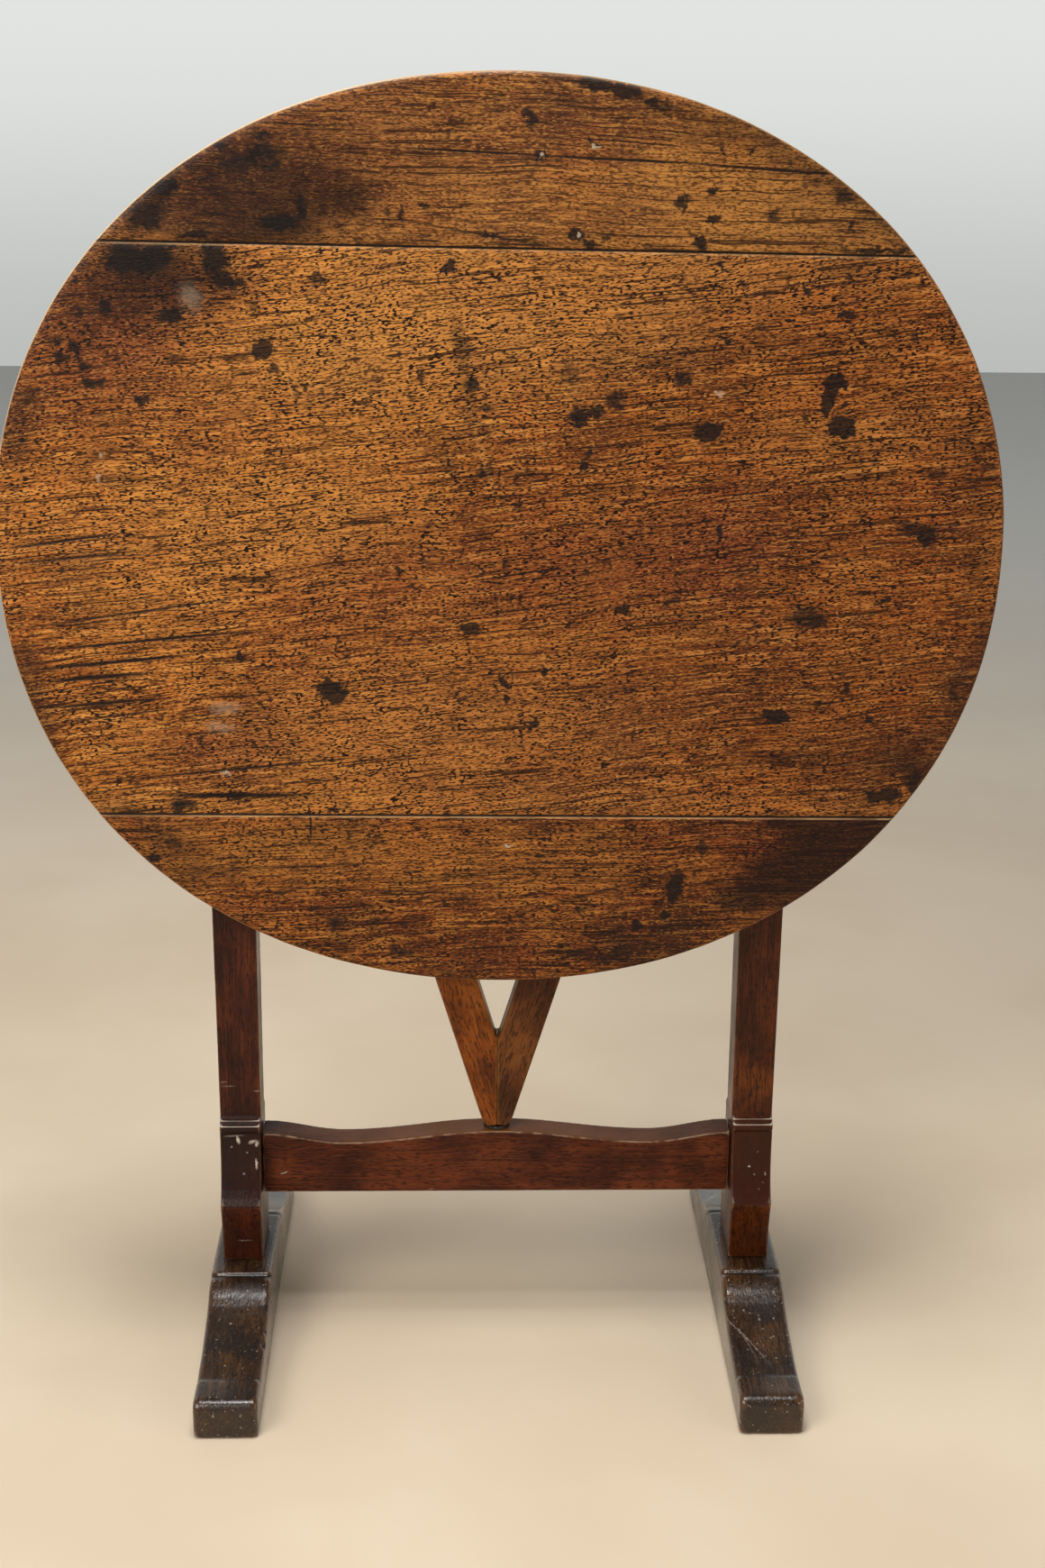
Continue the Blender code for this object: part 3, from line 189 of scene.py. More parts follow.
        (117, -323, 5.4, 5, 0, 0.97, 0.4), (171, -253, 3.8, 8.9, 0, 0.68, 0.6),
        (66, -349, 14, 5, 12, 0.74, 0.6), (90, -352, 18.7, 5.9, 10, 0.62, 0.7),
        (24, -364, 10.9, 4.2, 0, 0.62, 0.7), (104, -345, 7.8, 4.2, 10, 0.74, 0.6),
        (70, -308, 13.9, 3.3, 14, 0.62, 0.6),
    ),
}
SMOKY_PATCHES = {
    "upper": (
        (-212, 289, 92, 44, 10, 0.72, 1), (-120, 281, 18, 20, 0, 0.4, 0.9),
        (238, 269, 63.4, 16.9, -28, 0.35, 1), (137, 342, 55.4, 14.5, -14, 0.45, 1),
        (-196, 253, 42, 12, 0, 0.6, 0.9), (-158, 274, 42, 24, 4, 0.55, 0.9),
        (229, 309, 70, 13, -30, 0.6, 1), (300, 266, 44, 12, -42, 0.55, 1),
    ),
    "middle": (
        (-273, 228, 62, 30, 12, 0.75, 0.9), (-240, 204, 48, 18, 5, 0.45, 1),
        (-320, 185, 60, 44, 20, 0.48, 1), (-146, 86, 10.8, 12.9, 0, 0.35, 0.8),
        (-385, 83, 8.5, 42.7, -8, 0.4, 1), (-297, 100, 9.3, 10, 0, 0.25, 0.9),
        (-30, 135, 7, 74, 10, 0.45, 0.8), (194, 166, 17.9, 5.6, 35, 0.3, 0.9),
        (-18, 14, 21.9, 9.6, 0, 0.3, 0.9), (-72, 14, 7.3, 11.8, 0, 0.35, 0.9),
        (198, -162, 15.2, 5.5, 5, 0.45, 0.9), (240, -172, 27.4, 6.3, 0, 0.5, 0.9),
        (343, -177, 18.3, 14.3, 20, 0.55, 0.8), (-153, -171, 7.5, 7.1, 0, 0.35, 0.8),
        (387, 14, 16.3, 88, -4, 0.35, 1), (362, 109, 16, 64.1, 20, 0.3, 1),
        (288, -168, 80, 30, 6, 0.42, 1), (265, -112, 80, 22, 6, 0.3, 1),
    ),
    "lower": (
        (278, -230, 60, 9, 0, 0.95, 0.8), (262, -264, 58, 26, 25, 0.95, 0.9),
        (302, -251, 36, 20, 30, 0.95, 0.8), (225, -285, 40, 14, 28, 0.78, 0.9),
        (285, -245, 48, 26, 28, 0.7, 0.7), (-262, -262, 60, 26, -32, 0.35, 1.0),
        (113, -333, 109, 18.3, 10, 0.39, 1), (-285, -243, 37.8, 16, -35, 0.39, 1),
        (-104, -325, 61.7, 20.7, -15, 0.39, 1), (289, -284, 56, 20, 38, 0.9, 1),
    ),
}
RED_PATCHES = {
    "upper": (
        (54, 328, 41.5, 16.5, -5, 0.3, 1), (-205, 295, 140, 54, 12, 0.75, 1),
    ),
    "middle": (
        (163, 13, 44.1, 29.5, 10, 0.6, 1), (105, -17, 95.9, 33.5, 5, 0.4, 1), (60, 0, 160, 48, 4, 0.4, 1),
        (-101, -33, 51.4, 44.7, 0, 0.4, 1), (-168, -94, 29.6, 45.6, 0, 0.35, 1),
        (-245, -164, 52.3, 17.2, 5, 0.5, 1), (33, -203, 121.6, 17.5, 2, 0.3, 1),
        (-310, 180, 72, 62, 20, 0.8, 1), (-250, 215, 60, 24, 0, 0.5, 1), (-10, -138, 170, 46, 4, 0.32, 1),
    ),
    "lower": (
        (249, -243, 84.7, 32.3, 20, 0.5, 1), (4, -350, 70, 16.7, -3, 0.45, 1),
    ),
}
PALE_SCUFFS = {
    "upper": (
        (28, 312, 1.4, 1.3, 0, 0.8, 0.5), (71, 320, 3.5, 1, 0, 0.8, 0.5),
        (57, 253, 1.4, 1.4, 0, 0.7, 0.5),
    ),
    "middle": (
        (-245, 204, 7, 8.9, 20, 0.22, 0.9), (-229, -129, 11.1, 3.9, 0, 0.24, 0.9),
        (-234, -145, 8.9, 3.9, 0, 0.26, 0.9), (-229, -185, 3, 1.6, 15, 0.7, 0.5),
        (171, 132, 2.2, 2.1, 0, 0.5, 0.6), (-321, 80, 2.1, 2.2, 0, 0.5, 0.6),
        (-323, 62, 2.1, 2.9, 0, 0.5, 0.6),
    ),
    "lower": (
        (7, -249, 2.3, 1.6, 20, 0.8, 0.5),
    ),
}
SPLITS = {
    "upper": (
        (-25, 315, 59, 1, -2.4, 0.95, 0.5), (89, 310, 63, 1.2, -2.2, 0.95, 0.5),
        (201, 304, 56, 1.2, -3.6, 0.95, 0.5), (-23, 254, 65, 1, -9.4, 0.69, 0.5),
    ),
    "middle": (
        (-351, 11, 44, 1.3, 7.9, 0.92, 0.5), (-353, -4, 45, 1.2, 5.4, 0.86, 0.5),
        (-290, -47, 87, 1, 8.4, 0.86, 0.5), (-292, -72, 92, 1.3, 5.8, 0.95, 0.5),
        (-316, -90, 65, 1.4, 5.9, 0.95, 0.5), (-332, -103, 45, 2, 5, 0.95, 0.5),
        (-327, -125, 47, 1.6, 5.3, 0.95, 0.5), (-319, -136, 43, 1.2, 7.3, 0.8, 0.5),
        (-211, -181, 94, 1, 5.8, 0.92, 0.5), (-223, -205, 64, 2.2, 0, 0.95, 0.5),
        (162, -179, 99, 1.2, 2.4, 0.57, 0.5), (321, 10, 70, 1, 9.4, 0.52, 0.5),
        (100, 149, 44, 0.9, 12.1, 0.46, 0.5), (294, -93, 83, 0.9, 10.3, 0.52, 0.5),
        (75, -6, 74, 0.9, 8.9, 0.52, 0.5), (-5, -48, 52, 1, 7.7, 0.57, 0.5),
    ),
    "lower": (
        (-160, -233, 12, 1, -91.1, 0.92, 0.5), (-97, -291, 101, 0.9, -2.1, 0.63, 0.5),
        (68, -297, 83, 1.6, 16.4, 0.57, 0.5), (-168, -268, 65, 0.9, 1.8, 0.57, 0.5),
        (-154, -307, 50, 0.9, 2.8, 0.57, 0.5),
    ),
}

# Places that have stayed golden, noted in the same way
GOLDEN_PATCHES = {
    "upper": (
        (217, 272, 80, 26, -8, 0.6, 1), (60, 285, 90, 22, 0, 0.25, 1),
    ),
    "middle": (
        (-26.5, 120, 21, 2.2, -75, 0.6, 0.8), (-14, 71, 25, 2.4, -73, 0.65, 0.8),
        (-170, 139, 21, 2.2, -68, 0.5, 0.8), (-85, 176, 150, 62, 4, 0.65, 1),
        (-250, 20, 120, 60, 6, 0.35, 1), (-60, -150, 150, 46, 3, 0.4, 1), (80, 200, 120, 36, 0, 0.3, 1),
        (-119, 32, 54, 30, 4, 0.35, 1), (259, 87, 70, 22, 4, 0.3, 1), (178, 219, 106, 20, 0, 0.35, 1),
    ),
    "lower": (
        (-60, -262, 150, 24, 0, 0.35, 1), (-215, -255, 60, 22, 0, 0.4, 1),
    ),
}

# Chips of old limewash on the posts, and scratches, placed like the marks but from the floor up
LEFT_POST_CHIPS = (
    (-235, 185, 1.4, 3.4, 12, 0.95, 0.5), (-222, 183, 3.0, 1.4, 20, 0.75, 0.7),
    (-218, 181, 1.2, 2.6, -20, 0.85, 0.5), (-219, 161, 1.0, 4.2, 4, 0.9, 0.5),
    (-241, 178, 0.8, 0.9, 0, 0.5, 0.6), (-227, 172, 0.8, 0.8, 0, 0.5, 0.6),
    (-239, 189, 7.0, 0.6, 3, 0.35, 0.8), (-230, 152, 0.7, 0.7, 0, 0.4, 0.6),
    (-243, 235, 5.0, 0.4, 2, 0.22, 0.8), (-217, 230, 3.5, 0.4, -6, 0.28, 0.8),
    (-247, 239, 2.5, 0.5, 8, 0.25, 0.8), (-231, 86, 6.0, 0.4, 1, 0.25, 0.7),
)
RIGHT_POST_CHIPS = (
    (231, 157, 1.1, 0.9, 0, 0.7, 0.5), (239, 171, 0.8, 0.7, 0, 0.35, 0.5),
    (246, 150, 0.7, 1.5, 5, 0.4, 0.5), (236, 149, 0.7, 0.6, 0, 0.25, 0.6),
    (244, 142, 0.8, 0.6, 0, 0.3, 0.6), (240, 136, 0.9, 0.6, 10, 0.25, 0.6),
)
RAIL_CHIPS = ((-195, 145, 3.0, 0.6, 20, 0.6, 0.5), (-60, 128, 2.0, 0.4, 8, 0.3, 0.6))
# Notches knocked out of the left foot's inner edge: place, radius and depth in metres
LEFT_FOOT_NOTCHES = (((-0.2045, -0.132, 0.0385), 0.0055, 0.0035), ((-0.2045, -0.117, 0.042), 0.004, 0.002))
RIGHT_FOOT_SCRATCH = ((218, 41, 16.0, 0.22, -18, 0.36, 0.7), (222, 38.5, 6.0, 0.2, -30, 0.2, 0.7))


def linear(hex_colour):
    """Linear colour for a hex value as it looks on a screen."""
    channels = [int(hex_colour[i:i + 2], 16) / 255 for i in (0, 2, 4)]
    return [c / 12.92 if c <= 0.04045 else ((c + 0.055) / 1.055) ** 2.4 for c in channels] + [1.0]


def add(nodes, kind, feeds=None, out=0, **settings):
    """One node with its settings, each socket fed or set. It gives back the output that is asked for."""
    node = nodes.new("ShaderNode" + kind)
    for name, value in settings.items():
        setattr(node, name, value)
    for socket, value in (feeds or {}).items():
        if isinstance(value, bpy.types.NodeSocket):
            nodes.id_data.links.new(value, node.inputs[socket])
        else:
            node.inputs[socket].default_value = linear(value) if isinstance(value, str) else value
    return node.outputs[out] if node.outputs else None


def ramp(nodes, value, start, end, low=0.0, high=1.0):
    """Soft step of a value: low as far as its start, and high from its end on."""
    feeds = {0: value, 1: start, 2: end, 3: low, 4: high}
    return add(nodes, "MapRange", feeds, interpolation_type='SMOOTHSTEP', clamp=False)


def blend(nodes, share, under, over, **settings):
    """Colour that turns from the one under to the one over as the share grows."""
    return add(nodes, "Mix", {0: share, 6: under, 7: over}, 2, data_type='RGBA', **settings)


def times(nodes, value, factor, plus=None):
    """Product of two values, with a third one on top where it is given."""
    if plus is None:
        return add(nodes, "Math", {0: value, 1: factor}, operation='MULTIPLY')
    return add(nodes, "Math", {0: value, 1: factor, 2: plus}, operation='MULTIPLY_ADD')


def clouds(nodes, place, size, detail, roughness=0.5, out=0):
    """Cloudy pattern, by the size of one cloud."""
    feeds = {"Vector": place, "Scale": 1 / size, "Detail": detail, "Roughness": roughness}
    return add(nodes, "TexNoise", feeds, out)


def ragged(nodes, place, size, detail, roughness, spread):
    """Place shaken by fine clouds over a spread, so that the marks laid out on it get ragged edges."""
    shake = clouds(nodes, place, size, detail, roughness, out="Color")
    shaken = add(nodes, "VectorMath", {0: shake, 1: [spread] * 3, 2: place}, operation='MULTIPLY_ADD')
    return add(nodes, "Mapping", {0: shaken, 1: [-spread / 2] * 3})


def bare_material(name):
    """New material with nothing in it yet, and its nodes."""
    material = bpy.data.materials.new(name)
    material.use_nodes = True
    material.node_tree.nodes.clear()
    return material, material.node_tree.nodes


def along_grain(nodes, turn, shift, wander):
    """Place in millimetres turned along the grain, straight, and again with the wander of a grown tree."""
    where = add(nodes, "TexCoord", out="Object")
    straight = add(nodes, "Mapping", {0: where, 1: shift, 2: turn, 3: (MM, MM, MM)})
    bend = clouds(nodes, straight, 150, 2.0, out="Color")
    feeds = {0: bend, 1: (0, wander, wander), 2: straight}
    return straight, add(nodes, "VectorMath", feeds, operation='MULTIPLY_ADD')


def streaks(nodes, place, length, width, detail):
    """Streaks drawn out along the grain, by the length and width of one in millimetres."""
    drawn = add(nodes, "Mapping", {0: place, 3: (1 / length, 1 / width, 1 / width)})
    return clouds(nodes, drawn, 1, detail)


def late_wood(nodes, grown, length, width, count):
    """Lines of late wood: contours of a long slow streak, close together where the year was poor."""
    slow = streaks(nodes, grown, length, width, 1.5)
    turns = times(nodes, slow, 2 * math.pi * count)
    wave = add(nodes, "Math", {0: turns}, operation='SINE')
    return ramp(nodes, wave, 0.35, 1.0)


def marks_left(nodes, place, marks):
    """How much of the clean surface is left after all the marks: one is clean, nothing is solid stain."""
    left = 1.0
    for across, up, half_length, half_height, turn, strength, softness in marks:
        reach = 1 + softness
        spot = add(nodes, "Mapping", {
            0: place, 1: (across, 0, up), 2: (0, -math.radians(turn), 0),
            3: (half_length * reach, 100000, half_height * reach)}, vector_type='TEXTURE')
        inside = add(nodes, "TexGradient", {0: spot}, "Fac", gradient_type='SPHERICAL')
        full = min(1.0, 2 * softness / reach)
        clean = ramp(nodes, inside, 0.0, full, 1.0, 1.0 - strength)
        left = times(nodes, clean, left)
    return left


def hand_planed_walnut(part, tones, turn, shift, pores, shade, seams):
    """Old walnut board, planed by hand and waxed for a century.

    Short dark pores lie in rows along the grain, between long thin lines of late wood. Iron and ink have
    left blue-black stains, the ends have split, hands have darkened the rim, and the wax has a low sheen.
    The back was never finished. Pores is how dark these are, and shade how far the right end has greyed.
    Each seam comes with the side that the board lies on, how far the corner beside it is rubbed, and how
    bright the wood along it has stayed.
    """
    material, nodes = bare_material("hand_planed_walnut_" + part)
    straight, grown = along_grain(nodes, turn, shift, 16)
    where = add(nodes, "TexCoord", out="Object")
    level = add(nodes, "Mapping", {0: where, 1: (0, 0, -MM * OVAL_MIDDLE), 3: (MM, MM, MM)})
    torn = ragged(nodes, level, 8, 4.0, 0.6, spread=18)
    across = add(nodes, "SeparateXYZ", {0: torn}, "X")

    patina = clouds(nodes, straight, 120, 5.0)
    warmth = clouds(nodes, grown, 75, 3.0)
    thick = clouds(nodes, straight, 30, 2.0)
    fibre = streaks(nodes, grown, 42, 2.2, 3.0)
    seasons = late_wood(nodes, grown, 620, 52, 8)
    # Real pores are about 0.2 mm wide. They are drawn about 1 mm wide so that they show.
    fleck = streaks(nodes, grown, 3.3, 1.05, 0.0)
    dash = streaks(nodes, grown, 15, 1.3, 1.0)
    hair = streaks(nodes, grown, 150, 1.6, 1.0)
    gleam = streaks(nodes, straight, 4.0, 1.2, 1.0)

    # Colour of the clean wood
    skin = tones["body"]
    shares = {}
    for tone, source, none, full, most in (
            ("light", patina, 0.46, 0.6, 1.0), ("deep", patina, 0.5, 0.36, 0.75),
            ("warm", warmth, 0.48, 0.62, 0.5), ("glow", fibre, 0.5, 0.66, 0.85),
            ("line", fibre, 0.49, 0.34, 0.85)):
        shares[tone] = ramp(nodes, source, none, full, high=most)
        skin = blend(nodes, shares[tone], skin, tones[tone])
    late = times(nodes, seasons, 0.4)
    skin = blend(nodes, late, skin, tones["line"])
    plain = marks_left(nodes, torn, GOLDEN_PATCHES[part])
    skin = blend(nodes, plain, tones["glow"], skin)
    red = marks_left(nodes, torn, RED_PATCHES[part])
    skin = blend(nodes, red, tones["red"], skin)

    # Wood close to a joint between two boards has stayed brighter
    flat_across = add(nodes, "SeparateXYZ", {0: level}, "X")
    flat_up = add(nodes, "SeparateXYZ", {0: level}, "Z")
    joints = []
    for (height, skew), side, corner, band in seams:
        slope = -math.tan(skew)
        off = times(nodes, flat_across, slope, plus=flat_up)
        place = MM * (height - OVAL_MIDDLE)
        joints.append((off, place, side, corner))
        spared = ramp(nodes, off, place + 34 * side, place + 5 * side, high=band)
        skin = blend(nodes, spared, skin, tones["glow"])

    # Pores and threads of dark wood
    shining = ramp(nodes, gleam, 0.54, 0.67, high=0.65)
    skin = blend(nodes, shining, skin, tones["glow"])
    crowd = ramp(nodes, thick, 0.3, 0.6, 0.75 * pores, pores)
    pit = ramp(nodes, fleck, 0.53, 0.61)
    pit = times(nodes, pit, crowd)
    skin = blend(nodes, pit, skin, tones["pore"])
    scratch = ramp(nodes, dash, 0.58, 0.68, high=0.7 * pores)
    skin = blend(nodes, scratch, skin, tones["pore"])
    thread = ramp(nodes, hair, 0.59, 0.66, high=0.85)
    skin = blend(nodes, thread, skin, tones["pore"])

    # Greyer and darker towards the right end
    uneven = times(nodes, patina, 500.0, plus=across)
    greyer_right = ramp(nodes, uneven, 60.0, 560.0, high=shade)
    skin = blend(nodes, greyer_right, skin, "D6C8CC", blend_type='MULTIPLY')

    # Stains, splits and scuffs
    fume = clouds(nodes, level, 14, 4.0, 0.65)
    smoke = marks_left(nodes, torn, SMOKY_PATCHES[part])
    smoke = times(nodes, fume, -0.8, plus=smoke)
    smoke = ramp(nodes, smoke, -0.3, 0.52, low=0.05)
    smoked = blend(nodes, 0.86, skin, "130503")
    skin = blend(nodes, smoke, smoked, skin)
    blot = clouds(nodes, level, 5, 5.0, 0.7)
    ink = marks_left(nodes, torn, INK_BLOTS[part])
    ink = times(nodes, blot, -0.9, plus=ink)
    ink = ramp(nodes, ink, -0.34, 0.42, low=0.06)
    inked = blend(nodes, 0.96, skin, "0F0B0B")
    skin = blend(nodes, ink, inked, skin)
    split = marks_left(nodes, level, SPLITS[part])
    skin = blend(nodes, split, "120805", skin)
    scuff = marks_left(nodes, torn, PALE_SCUFFS[part])
    skin = blend(nodes, scuff, "B9A58E", skin)

    # Grime in the joint between two boards, and a rubbed corner beside it
    for off, place, side, corner in joints:
        rubbed_in = ramp(nodes, off, place + 3.0 * side, place + 1.6 * side)
        rubbed_in = times(nodes, rubbed_in, corner)
        broken = ramp(nodes, thick, 0.35, 0.6, low=0.4)
        rubbed_in = times(nodes, rubbed_in, broken)
        skin = blend(nodes, rubbed_in, skin, "C9A070")
        grime = ramp(nodes, off, place + 1.3 * side, place + 0.7 * side, high=0.95)
        skin = blend(nodes, grime, skin, "100704")

    # Hands darken the rim, and the last few millimetres are rubbed back to golden wood
    to_oval = (1 / (MM * OVAL_HALF_LENGTH), 0, 1 / (MM * OVAL_HALF_WIDTH))
    oval = add(nodes, "Mapping", {0: torn, 3: to_oval})
    reach = add(nodes, "VectorMath", {0: oval}, "Value", operation='LENGTH')
    handled = ramp(nodes, reach, 0.84, 1.0, high=0.6)
    handled = times(nodes, handled, shares["deep"])
    skin = blend(nodes, handled, skin, "2B170B")
    depth = add(nodes, "SeparateXYZ", {0: level}, "Y")
    round_over = ramp(nodes, depth, *ROUND_OVER, high=0.55)
    skin = blend(nodes, round_over, skin, tones["rim"])
    # Painted highlight: a pale cream line along the rounded rim on the left, where overhead light would
    # catch it
    rim_glint = ramp(nodes, across, 60.0, -160.0)
    rim_glint = times(nodes, rim_glint, round_over)
    front_edge = ramp(nodes, depth, *FRONT_EDGE)
    rim_glint = times(nodes, rim_glint, front_edge)
    skin = blend(nodes, rim_glint, skin, tones["rim_highlight"])
    bruised = ramp(nodes, thick, 0.42, 0.66, high=0.75)
    behind = ramp(nodes, depth, *EDGE_BEHIND)
    bruised = times(nodes, bruised, behind)
    skin = blend(nodes, bruised, skin, tones["line"])

    # Unfinished back
    sawn = ramp(nodes, fibre, 0.35, 0.65)
    raw = blend(nodes, sawn, "4A2F1E", "6B4A32")
    raw = blend(nodes, shares["deep"], raw, "2C1A10")
    raw = blend(nodes, pit, raw, "2A190F")
    back = ramp(nodes, depth, *BACK_FACE)
    skin = blend(nodes, back, skin, raw)

    rough = ramp(nodes, patina, 0.3, 0.7, 0.52, 0.38)
    rough = times(nodes, back, 0.3, plus=rough)
    height = times(nodes, pit, -0.8, plus=fibre)
    height = times(nodes, split, 2.0, plus=height)
    bump = add(nodes, "Bump", {"Strength": 0.35, "Distance": 0.0006, "Height": height})
    # A dusty old wax film gives back less light than clean wax
    surface = add(nodes, "BsdfPrincipled", {
        "Base Color": skin, "Roughness": rough, "Normal": bump, "IOR": 1.47, "Specular IOR Level": 0.2})
    add(nodes, "OutputMaterial", {"Surface": surface})
    return material


def old_joinery(name, tones, turn, shift, dullness, shine=0.3, wax=0.0, dust_and_glints=0.0, soot=None, chips=(),
                figure=1.0, bumps=0.3):
    """Old joiner's wood, cut by hand and dark with wax and handling.

    Fibres and late wood run along the piece. Proud edges are rubbed to a warmer and shinier wood, and
    their pale colour also paints the highlights along the arrises; up-facing lips of a ledge get a painted
    highlight too. Hollows keep black grime, and dusty grains and old limewash leave tiny pale specks and
    chips; on the feet the pale specks also stand in for glints. Dullness is the roughness of the wax,
    shine its strength, and figure how far the grain stands out.
    """
    material, nodes = bare_material(name)
    straight, grown = along_grain(nodes, turn, shift, 9)
    patina = clouds(nodes, straight, 55, 4.0)
    broken = clouds(nodes, straight, 9, 3.0)
    fibre = streaks(nodes, grown, 48, 2.0, 3.0)
    seasons = late_wood(nodes, grown, 380, 26, 6)
    # Real pores are about 0.2 mm wide. They are drawn about 1 mm wide so that they show.
    fleck = streaks(nodes, grown, 7, 1.4, 1.0)
    scrape = streaks(nodes, straight, 34, 1.6, 1.0)
    proud = add(nodes, "Attribute", None, "Fac", attribute_name="proud")

    skin = tones["body"]
    for tone, source, none, full, most in (
            ("light", patina, 0.46, 0.64, 1.0), ("deep", patina, 0.5, 0.34, 0.8),
            ("light", fibre, 0.5, 0.7, 0.7 * figure), ("deep", fibre, 0.48, 0.32, 0.8 * figure)):
        share = ramp(nodes, source, none, full, high=most)
        skin = blend(nodes, share, skin, tones[tone])
    late = times(nodes, seasons, 0.5 * figure)
    skin = blend(nodes, late, skin, tones["deep"])
    pit = ramp(nodes, fleck, 0.53, 0.64, high=0.65)
    skin = blend(nodes, pit, skin, tones["grime"])
    where = add(nodes, "TexCoord", out="Object")
    if soot:
        up = add(nodes, "SeparateXYZ", {0: where}, "Z")
        under = ramp(nodes, up, soot[1] + 0.008, soot[1], high=0.8)
        over = ramp(nodes, up, soot[0] - 0.006, soot[0])
        smoky = times(nodes, under, over)
        skin = blend(nodes, smoky, skin, tones["soot"])
        # Darker towards the foot
        darker_low = ramp(nodes, up, *DARKER_TOWARD_FOOT, high=0.65)
        skin = blend(nodes, darker_low, skin, tones["deep"])
    scraped = ramp(nodes, scrape, 0.68, 0.76, high=0.1)
    skin = blend(nodes, scraped, skin, tones["worn"])
    if "trodden" in tones:
        level = add(nodes, "Attribute", None, "Fac", attribute_name="level")
        level = ramp(nodes, level, 0.55, 0.9, high=0.75)
        off_middle = add(nodes, "SeparateXYZ", {0: where}, "X")
        off_middle = add(nodes, "Math", {0: off_middle}, operation='ABSOLUTE')
        often = ramp(nodes, off_middle, *TROD_PART, 1.0, 0.25)
        level = times(nodes, level, often)
        skin = blend(nodes, level, skin, tones["trodden"])
    # Proud edges: real wear, and their pale colour is also a painted highlight along the arrises
    edge = ramp(nodes, proud, 0.32, 0.7)
    patchy = ramp(nodes, broken, 0.34, 0.6, 0.15, 0.7)
    rub = times(nodes, edge, patchy)
    skin = blend(nodes, rub, skin, tones["worn"])
    # Painted highlight with some pale wear: the up-facing proud lips of the ledge mouldings are painted
    # near white
    if "ledge" in tones:
        upward = add(nodes, "Attribute", None, "Fac", attribute_name="level")
        upward = ramp(nodes, upward, 0.5, 0.72, high=0.9)
        lip_glint = ramp(nodes, proud, 0.12, 0.4)
        lip_glint = times(nodes, lip_glint, upward)
        skin = blend(nodes, lip_glint, skin, tones["ledge"])
    dirt = ramp(nodes, proud, -0.08, -0.6, high=0.85)
    skin = blend(nodes, dirt, skin, tones["grime"])
    # Pale specks: dust, and on the feet also painted glints
    if dust_and_glints:
        pale_specks = clouds(nodes, straight, 2.6, 0.0)
        pale_specks = ramp(nodes, pale_specks, 0.775, 0.82, high=dust_and_glints)
        skin = blend(nodes, pale_specks, skin, "B4A797")
    if chips:
        place = add(nodes, "Mapping", {0: where, 3: (MM, MM, MM)})
        sound = marks_left(nodes, ragged(nodes, place, 2, 2.0, 0.5, spread=3), chips)
        skin = blend(nodes, sound, "C6BAAA", skin)

    rough = ramp(nodes, patina, 0.3, 0.7, dullness + 0.1, dullness - 0.05)
    rough = times(nodes, edge, -0.12, plus=rough)
    rough = times(nodes, dirt, 0.25, plus=rough)
    height = times(nodes, pit, -0.7, plus=fibre)
    height = times(nodes, broken, 0.8, plus=height)
    bump = add(nodes, "Bump", {"Strength": bumps, "Distance": 0.0005, "Height": height})
    surface = add(nodes, "BsdfPrincipled", {
        "Base Color": skin, "Roughness": rough, "Normal": bump, "IOR": 1.48, "Specular IOR Level": shine,
        "Coat Weight": wax, "Coat Roughness": 0.18})
    add(nodes, "OutputMaterial", {"Surface": surface})
    return material


def forged_iron():
    """Wrought iron from the smith: black scale, a bloom of brown rust, a dull shine where it is rubbed."""
    material, nodes = bare_material("forged_iron")
    where = add(nodes, "TexCoord", out="Object")
    place = add(nodes, "Mapping", {0: where, 3: (MM, MM, MM)})
    scale = clouds(nodes, place, 3, 4.0)
    patch = clouds(nodes, place, 6, 4.0)
    rust = ramp(nodes, patch, 0.48, 0.66, high=0.8)
    shiny = ramp(nodes, scale, 0.4, 0.7)
    skin = blend(nodes, shiny, "35312E", "58524C")
    skin = blend(nodes, rust, skin, "4A2B1B")
    rough = ramp(nodes, scale, 0.3, 0.7, 0.62, 0.42)
    metal = ramp(nodes, rust, 0.0, 0.8, 0.9, 0.15)
    bump = add(nodes, "Bump", {"Strength": 0.4, "Distance": 0.0003, "Height": scale})
    surface = add(nodes, "BsdfPrincipled", {"Base Color": skin, "Roughness": rough, "Metallic": metal,
                                            "Normal": bump})
    add(nodes, "OutputMaterial", {"Surface": surface})
    return material


def limewashed_floor():
    """Plain pale limewashed floor: warm under the table, paler further out, a little cloudy, no shine."""
    material, nodes = bare_material("limewashed_floor")
    where = add(nodes, "TexCoord", out="Object")
    cloud = add(nodes, "TexNoise", {"Vector": where, "Scale": 2.2, "Detail": 4.0})
    thin = ramp(nodes, cloud, 0.35, 0.65)
    skin = blend(nodes, thin, "D0BDA4", "D8C7AF")
    table = add(nodes, "Mapping", {0: where, 1: (0, 1.0, 0)})
    far = add(nodes, "VectorMath", {0: table}, "Value", operation='LENGTH')
    far = ramp(nodes, far, 0.7, 5.0)
    skin = blend(nodes, far, skin, "F0F0ED")
    surface = add(nodes, "BsdfPrincipled", {"Base Color": skin, "Roughness": 0.75})
    add(nodes, "OutputMaterial", {"Surface": surface})
    return material


def link(name, data):
    """New object in the scene, with its mesh, light or view."""
    thing = bpy.data.objects.new(name, data)
    bpy.context.scene.collection.objects.link(thing)
    return thing


def oval_point(angle, draw):
    """Point on the rim of the upright top, drawn in by a distance."""
    power = 2 / OVAL_SQUARENESS
    across = math.cos(angle)
    up = math.sin(angle)
    x = math.copysign(abs(across) ** power, across) * (OVAL_HALF_LENGTH - draw)
    z = math.copysign(abs(up) ** power, up) * (OVAL_HALF_WIDTH - draw)
    return x, OVAL_MIDDLE + z


